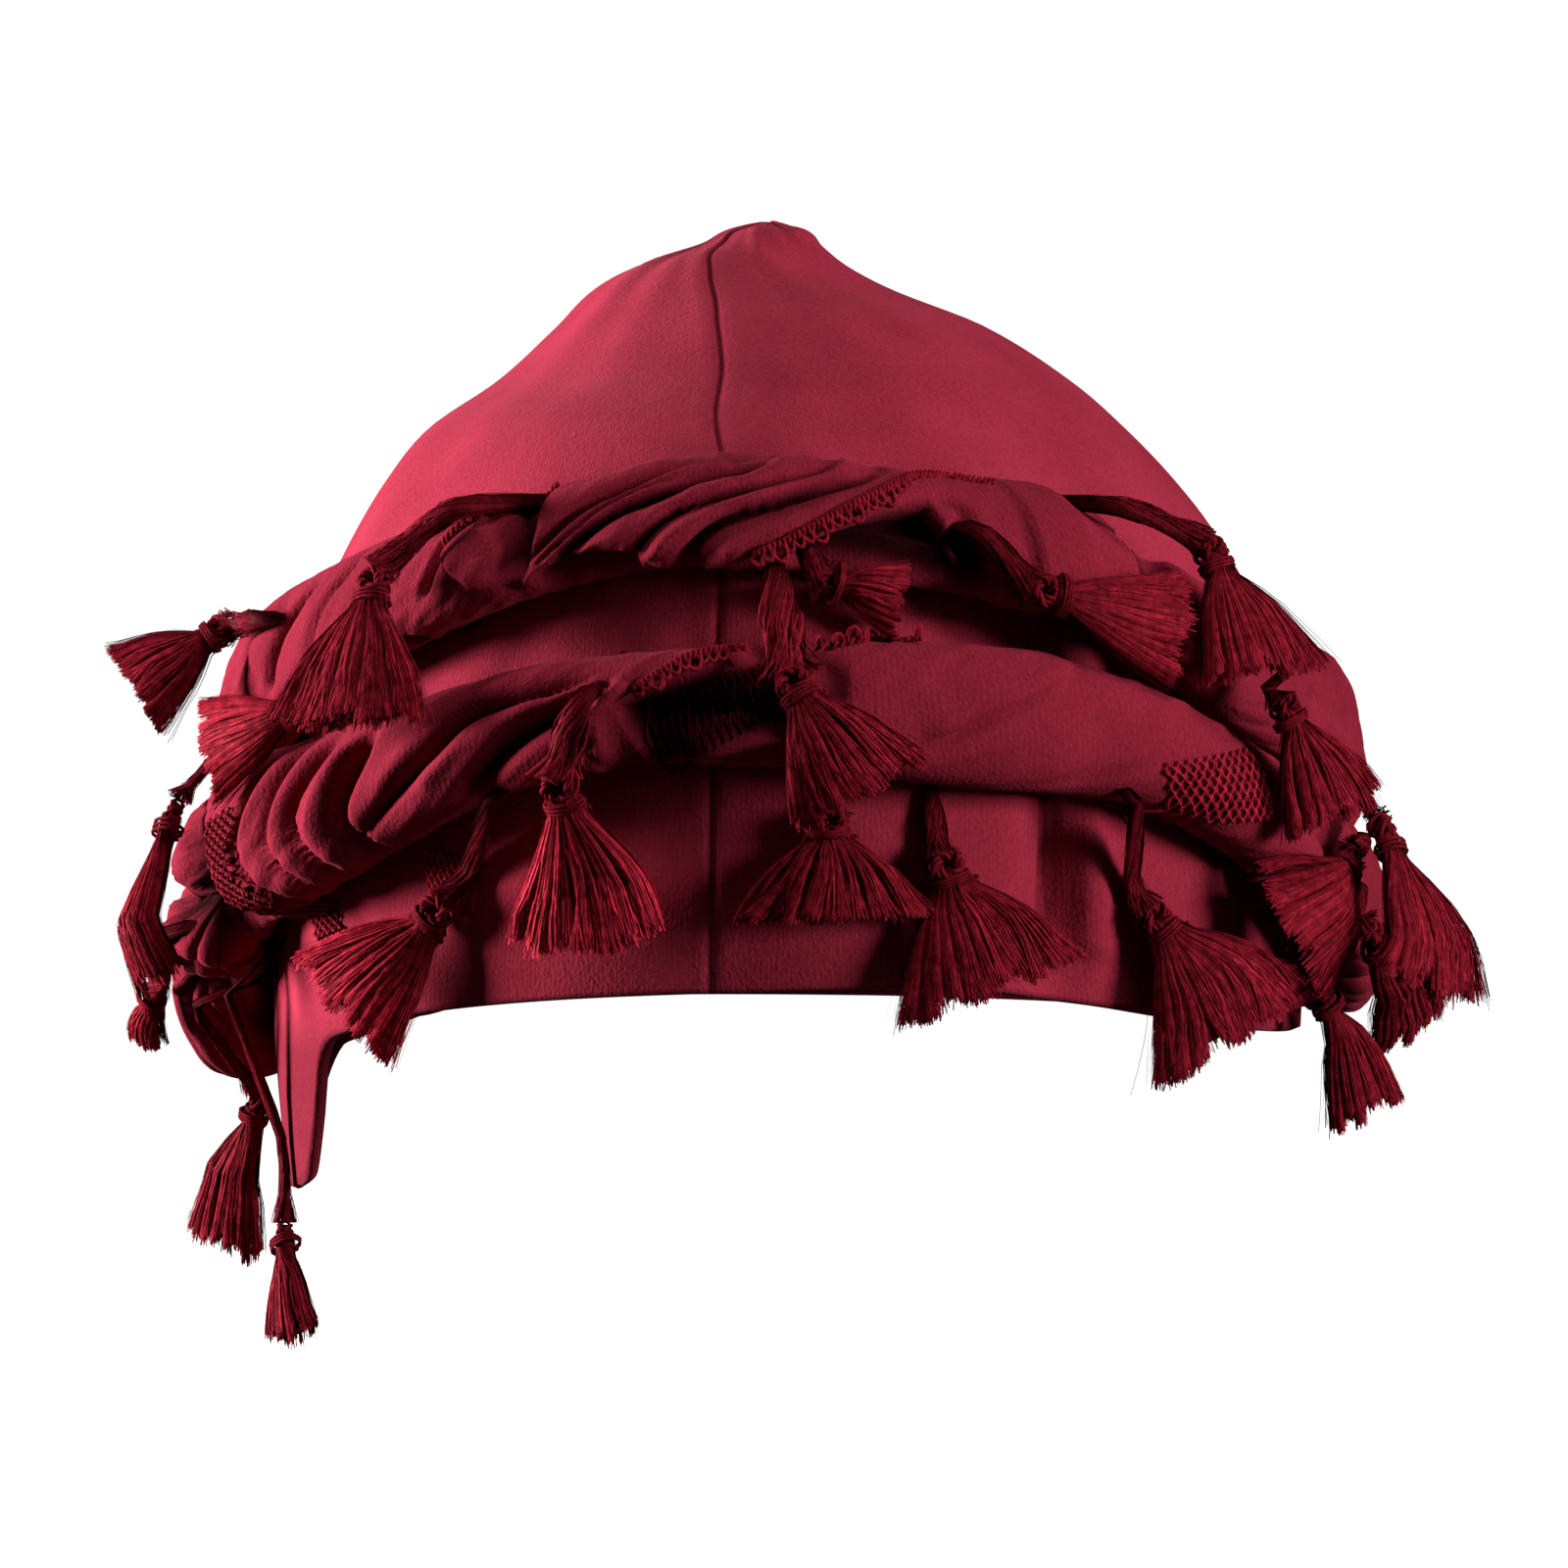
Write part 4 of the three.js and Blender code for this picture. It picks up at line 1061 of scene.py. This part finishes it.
def build_tassel(name, tassel, material, seed):
    tubes = TubeSet()
    rng = np.random.default_rng(seed)
    add_cord(tubes, tassel, CORD_LOOKS.get(name, PLAIN_CORD), rng)
    add_knot(tubes, tassel)
    add_core(tubes, tassel, rng)
    add_skirt(tubes, tassel, SKIRT_PAINTED_LIGHT.get(name, 1), rng)
    return tubes.piece(f"threads_{name}", material)


# Knotted edges of the scarf: number of loops, how far they hang, and the edge's line
EDGES = named_lines("loops drop", """
    knotted_edge_upper       28  1.8 : 4.5 66.5, 10 70, 17 75, 26 79.5, 36 78.5
    knotted_edge_upper_left   8  0   : -32 69, -27 75, -22 78
    knotted_edge_lower       12  1.5 : -7 46, -4 49, -1 51.5, 4 52.6
    knotted_edge_lower_right  7 -1.6 : 11 52.5, 17 53.6, 23 53.6
""")
EDGE_LIFT = 0.7
EDGE_CORD_RADIUS = 0.36
EDGE_CORD_PLY = 0.55
EDGE_CORD_TONE = 0.9
LOOP_SPACING = 8
LOOP_PLACES = 12
LOOP_SIDES = 6
LOOP_RADIUS = 0.34
LOOP_HALF_WIDTH = 0.85
LOOP_START = 0.3
LOOP_BULGE = 0.6
LOOP_TONE = 0.7
LARGE_LOOP_TONE = 0.25
LARGE_LOOP_EVERY = 4
FIRST_LARGE_LOOP = 2
LARGE_LOOP = 1.5

# Nets of the scarf's openwork border, with their corners in order round the patch; the tone is painted
# light on net_right and painted shade on net_furrow in its furrow, and makes net_frayed lighter and
# net_left darker
NETS = named_lines("rows columns tone", """
    net_right   8 22 1.6 : 45.5 34.7, 58 37.5, 57.7 26, 47.9 25.5
    net_furrow  2 32 0.3 : -7 44, 6 50, 8 43, -5 33
    net_left   20  9 0.6 : -59 25, -53.5 28, -46.5 9, -52 7
    net_frayed  6 15 2.2 : -35 21.5, -27.5 19.5, -28 12, -34 15
""")
NET_SPACING = 3
NET_RADIUS = 0.2
NET_KNOT_RADIUS = 0.42
NET_LIFT = 0.5


def laid_points(trees, angle, z, lift):
    """Points on the outermost surface at some angles and heights."""
    stand = np.array([surface_stand(trees, *place) for place in zip(angle, z)])
    return reach_point(angle, z, stand + lift)


def surface_line(trees, line, count):
    """Points laid on the surface along a line, with directions along, down and off it."""
    flat = fold_line(line)
    length = np.concatenate([[0], np.cumsum(np.linalg.norm(np.diff(flat, axis=0), axis=1))])
    even = np.linspace(0, length[-1], count)
    angle = np.interp(even, length, flat[:, 0]) / MM_PER_DEGREE
    z = np.interp(even, length, flat[:, 1])
    points = laid_points(trees, angle, z, EDGE_LIFT)
    along = unit(np.gradient(points, axis=0))
    off = outward(angle)
    down = unit(np.cross(along, off))
    return points, along, down, off


def build_edge(name, edge, trees, material):
    """A twisted cord along the scarf's edge with a row of hanging loops."""
    tubes = TubeSet()
    loops, drop = int(edge["loops"]), edge["drop"]
    places = LOOP_SPACING * loops + 1
    points, along, down, off = surface_line(trees, edge["line"], places)
    turn = np.linspace(0, 2 * math.pi * loops, len(points))[:, None]
    for ply in range(2):
        wind = turn + math.pi * ply
        path = points + EDGE_CORD_PLY * (np.cos(wind) * down + np.sin(wind) * off)
        tubes.add(path, EDGE_CORD_RADIUS, TUBE_SIDES, off, EDGE_CORD_TONE)
    hang = np.linspace(0, math.pi, LOOP_PLACES)[:, None]
    for i in range(loops if drop else 0):
        at = LOOP_SPACING * i + LOOP_SPACING // 2
        size = LARGE_LOOP if i % LARGE_LOOP_EVERY == FIRST_LARGE_LOOP else 1
        open_width = LOOP_HALF_WIDTH * size * np.cos(hang) * along[at]
        fall = drop * size * np.sin(hang) * down[at]
        bulge = (LOOP_START + LOOP_BULGE * size * np.sin(hang)) * off[at]
        path = points[at] + open_width + fall + bulge
        tubes.add(path, LOOP_RADIUS, LOOP_SIDES, off[at], LOOP_TONE + LARGE_LOOP_TONE * size)
    return tubes.piece(f"loops_{name}", material)


def build_net(name, net, trees, material):
    """A patch of knotted net laid on the surface: zigzag threads that meet at knots."""
    tubes = TubeSet()
    rows, cols = int(net["rows"]), int(net["columns"])
    corners = net["line"]
    across = np.linspace(0, 1, NET_SPACING * cols + 1)
    knotted = np.arange(len(across)) % NET_SPACING == 0
    radius = np.where(knotted, NET_KNOT_RADIUS, NET_RADIUS)
    top = corners[0] + (corners[1] - corners[0]) * across[:, None]
    low = corners[3] + (corners[2] - corners[3]) * across[:, None]
    for row in range(rows):
        zigzag = np.abs((across * cols + row) % 2 - 1)
        places = top + (low - top) * ((row + zigzag) / rows)[:, None]
        path = laid_points(trees, *places.T, NET_LIFT)
        # The tone is painted light on net_right and painted shade on net_furrow
        tubes.add(path, radius, TUBE_SIDES, outward(places[:, 0]), net["tone"])
    return tubes.piece(name, material)


# Materials: colours from dark to light, and the scale and detail of each kind of noise
CAP_COLOURS = ((0.23, 0.014, 0.030), (0.33, 0.024, 0.048))
SCARF_COLOURS = ((0.155, 0.0085, 0.019), (0.235, 0.0152, 0.032))
THREAD_COLOURS = ((0.12, 0.0045, 0.010), (0.26, 0.011, 0.023))
STAGE_COLOUR = (0.9, 0.9, 0.9, 1.0)
WHITE = (1.0, 1.0, 1.0, 1.0)
NOISES = {
    "wobble": (160.0, 2.0),
    "fuzz": (1500.0, 3.0),
    "crinkle": (260.0, 4.0),
    "dye": (55.0, 4.0),
    "grain": (700.0, 2.0),
    "twist": (2600.0, 1.0),
}
RIB_WANDER = 2.2
RIB_HEIGHT = 0.05
RIB_SHADE = 0.05
COURSE_TURN = 9.0
COURSE_HEIGHT = 0.015
FUZZ_HEIGHT = 1.3
CRINKLE_HEIGHT = 0.5
DYE_SHARE = 0.5
DYE_STOPS = (0.35, 0.65)
GRAIN_STOPS = (0.3, 0.7)
JERSEY_BUMP = 0.35
THREAD_BUMP = 0.3
THREAD_DEPTH = 0.0002


class Look:
    """A new material and short calls that add nodes to it."""

    def __init__(self, name):
        self.material = bpy.data.materials.new(name)
        self.material.use_nodes = True
        self.tree = self.material.node_tree

    def fill(self, node, values):
        """Links or sets the inputs of a node."""
        for socket, value in values.items():
            if hasattr(value, "is_linked"):
                self.tree.links.new(value, node.inputs[socket])
            else:
                node.inputs[socket].default_value = value

    def finish(self, values):
        """Fills the main shader and returns the material."""
        self.fill(self.tree.nodes["Principled BSDF"], values)
        return self.material

    def node(self, kind, values, **settings):
        node = self.tree.nodes.new(f"ShaderNode{kind}")
        for name, value in settings.items():
            setattr(node, name, value)
        self.fill(node, values)
        return node.outputs

    def math(self, operation, *values):
        return self.node("Math", dict(enumerate(values)), operation=operation)[0]

    def blend(self, first, first_share, second, second_share):
        first = self.math("MULTIPLY", first, first_share)
        return self.math("ADD", first, self.math("MULTIPLY", second, second_share))

    def wave(self, value, turn):
        return self.math("SINE", self.math("MULTIPLY", value, turn))

    def place(self):
        return self.node("TexCoord", {})["Object"]

    def tone(self):
        return self.node("Attribute", {}, attribute_name="tone")["Fac"]

    def noise(self, place, kind):
        scale, detail = NOISES[kind]
        return self.node("TexNoise", {"Vector": place, "Scale": scale, "Detail": detail})["Fac"]

    def ramp(self, factor, stops, colours):
        colour = self.node("ValToRGB", {"Fac": factor})["Color"]
        for element, stop, shade in zip(colour.node.color_ramp.elements, stops, colours):
            element.position = stop
            element.color = (*shade, 1.0)
        return colour

    def tinted(self, colour, tone):
        """A colour made darker or lighter by a factor."""
        return self.node("VectorMath", {0: colour, "Scale": tone}, operation="SCALE")[0]

    def bump(self, height, strength, distance):
        values = {"Height": height, "Strength": strength, "Distance": distance}
        return self.node("Bump", values)["Normal"]


def jersey_material(name, colours, rib_pitch, rib_depth, sheen):
    """Fine ribbed jersey: ribs along the cloth, crossing courses, fuzz and uneven dye."""
    look = Look(name)
    cloth = look.node("UVMap", {}, uv_map="cloth")["UV"]
    place = look.place()
    split = look.node("SeparateXYZ", {0: cloth})
    wander = look.math("MULTIPLY", look.noise(place, "wobble"), RIB_WANDER)
    ribs = look.wave(look.math("ADD", split["X"], wander), 2 * math.pi / rib_pitch)
    courses = look.wave(split["Y"], COURSE_TURN)
    fuzz = look.noise(place, "fuzz")
    weave = look.blend(ribs, RIB_HEIGHT, courses, COURSE_HEIGHT)
    texture = look.blend(fuzz, FUZZ_HEIGHT, look.noise(place, "crinkle"), CRINKLE_HEIGHT)
    mottled = look.blend(look.noise(place, "dye"), DYE_SHARE, fuzz, 1 - DYE_SHARE)
    ribbed = look.math("ADD", look.math("MULTIPLY", ribs, RIB_SHADE), 1.0)
    tone = look.math("MULTIPLY", look.tone(), ribbed)
    return look.finish({
        "Base Color": look.tinted(look.ramp(mottled, DYE_STOPS, colours), tone),
        "Normal": look.bump(look.math("ADD", weave, texture), JERSEY_BUMP, rib_depth),
        "Roughness": 0.85,
        "Specular IOR Level": 0.02,
        "Specular Tint": (1.0, 0.3, 0.38, 1.0),
        "Sheen Weight": sheen,
        "Sheen Roughness": 0.4,
        "Sheen Tint": (1.0, 0.4, 0.5, 1.0),
    })


def thread_material(name, colours):
    """Silky thread with strands of uneven colour."""
    look = Look(name)
    place = look.place()
    colour = look.ramp(look.noise(place, "grain"), GRAIN_STOPS, colours)
    return look.finish({
        "Base Color": look.tinted(colour, look.tone()),
        "Normal": look.bump(look.noise(place, "twist"), THREAD_BUMP, THREAD_DEPTH),
        "Roughness": 0.5,
        "Specular IOR Level": 0.01,
        "Specular Tint": (1.0, 0.16, 0.22, 1.0),
    })


cap_jersey = jersey_material("cap_jersey", CAP_COLOURS, rib_pitch=0.95, rib_depth=0.0004, sheen=0.08)
scarf_jersey = jersey_material("scarf_jersey", SCARF_COLOURS, rib_pitch=1.0, rib_depth=0.0005, sheen=0.03)
thread = thread_material("thread", THREAD_COLOURS)

# The object
ROLLS = {
    "upper_wrap": Roll(UPPER_ROWS, UPPER_PHASE, UPPER_FOLDS, SEED + 1),
    "lower_wrap": Roll(LOWER_ROWS, LOWER_PHASE, LOWER_FOLDS, SEED + 2),
}
FIRST_TASSEL_SEED = SEED + 20
pieces = {}
nets = {}
crown, crown_tree = build_crown(cap_jersey)
pieces["crown"] = (crown, "cap_jersey")
trees = [crown_tree]
for node, roll in ROLLS.items():
    piece, tree = build_roll(f"{node}_cloth", roll, scarf_jersey)
    pieces[node] = (piece, "scarf_jersey")
    trees.append(tree)
for node, edge in EDGES.items():
    pieces[node] = (build_edge(node, edge, trees, thread), "thread")
for name, net in NETS.items():
    nets[name] = build_net(name, net, trees, thread)
for number, (name, row) in enumerate(TASSELS.items()):
    tassel = Tassel(row, trees)
    trees.append(tassel.envelope())
    piece = build_tassel(name, tassel, thread, FIRST_TASSEL_SEED + number)
    pieces[f"tassel_{name}"] = (piece, "thread")
for node, (piece, slot) in pieces.items():
    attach(piece, "root")
    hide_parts(node)
for piece in nets.values():
    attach(piece, "root")


# Stage, lamps and camera
STAGE_DEPTH = 4000
STAGE_SWEEP = 500
STAGE_TURNS = 16
STAGE_HEIGHT = 3000
STAGE_HALF_WIDTH = 3000
STAGE_GLOW = 0.95
WORLD_STRENGTH = 0.035
LAMP_AIM = 40

# Azimuth, elevation, distance, size and power of each lamp
LAMPS = {
    "window": (-91, 5, 1300, 420, 58),
    "top": (40, 66, 1400, 380, 8),
    "right": (74, 9, 1600, 500, 28),
}


def build_stage(floor_z):
    """A pale floor that turns up into a backdrop behind the object."""
    material = Look("pale_stage").finish({
        "Base Color": STAGE_COLOUR,
        "Roughness": 0.9,
        "Emission Color": WHITE,
        "Emission Strength": STAGE_GLOW,
    })
    turn = np.linspace(0, math.pi / 2, STAGE_TURNS)
    bend = stack(STAGE_DEPTH + STAGE_SWEEP * np.sin(turn), STAGE_SWEEP * (1 - np.cos(turn)))
    profile = [(-STAGE_DEPTH, 0), *bend, (STAGE_DEPTH + STAGE_SWEEP, STAGE_HEIGHT)]
    sides = (-STAGE_HALF_WIDTH, STAGE_HALF_WIDTH)
    points = np.array([(x, y, floor_z + z) for y, z in profile for x in sides], float)
    corners = grid_faces(len(profile), 2)
    quads = (corners[..., 0] * 2 + corners[..., 1])[:, ::-1]
    stage = make_piece("stage", points, [quads], material)
    stage.visible_diffuse = False
    stage.visible_glossy = False


def place_holder(name, data, location, away):
    """Puts a lamp or camera in the scene, looking back along a direction."""
    holder = bpy.data.objects.new(name, data)
    holder.location = location * MM
    holder.rotation_euler = away.to_track_quat("Z", "Y").to_euler()
    bpy.context.scene.collection.objects.link(holder)
    return holder


def add_lamp(name, azimuth, elevation, distance, size, power):
    """A soft square lamp that looks at the middle of the object."""
    lamp = bpy.data.lights.new(name, "AREA")
    lamp.shape = "SQUARE"
    lamp.size = size * MM
    lamp.energy = power
    turn, rise = math.radians(azimuth), math.radians(elevation)
    level = Vector((math.sin(turn), -math.cos(turn), 0)) * math.cos(rise)
    away = level + Vector((0, 0, math.sin(rise)))
    place_holder(name, lamp, away * distance + Vector((0, 0, LAMP_AIM)), away)


def add_camera():
    turn = math.radians(CAMERA_AZIMUTH)
    away = Vector((math.sin(turn), -math.cos(turn), 0))
    right = Vector((math.cos(turn), math.sin(turn), 0))
    camera = bpy.data.cameras.new("camera")
    camera.lens = CAMERA_LENS
    camera.sensor_width = CAMERA_SENSOR
    camera.clip_end = CAMERA_REACH
    location = away * CAMERA_DISTANCE + right * CAMERA_ASIDE + Vector((0, 0, CAMERA_HEIGHT))
    bpy.context.scene.camera = place_holder("camera", camera, location, away)


world = bpy.data.worlds.new("studio")
world.use_nodes = True
background = world.node_tree.nodes["Background"]
background.inputs["Color"].default_value = WHITE
background.inputs["Strength"].default_value = WORLD_STRENGTH
bpy.context.scene.world = world
bpy.context.scene.view_settings.view_transform = "Standard"
build_stage(CAD_BOX[0][2] / MM - FLOOR_DROP)
for name, lamp in LAMPS.items():
    add_lamp(name, *lamp)
add_camera()
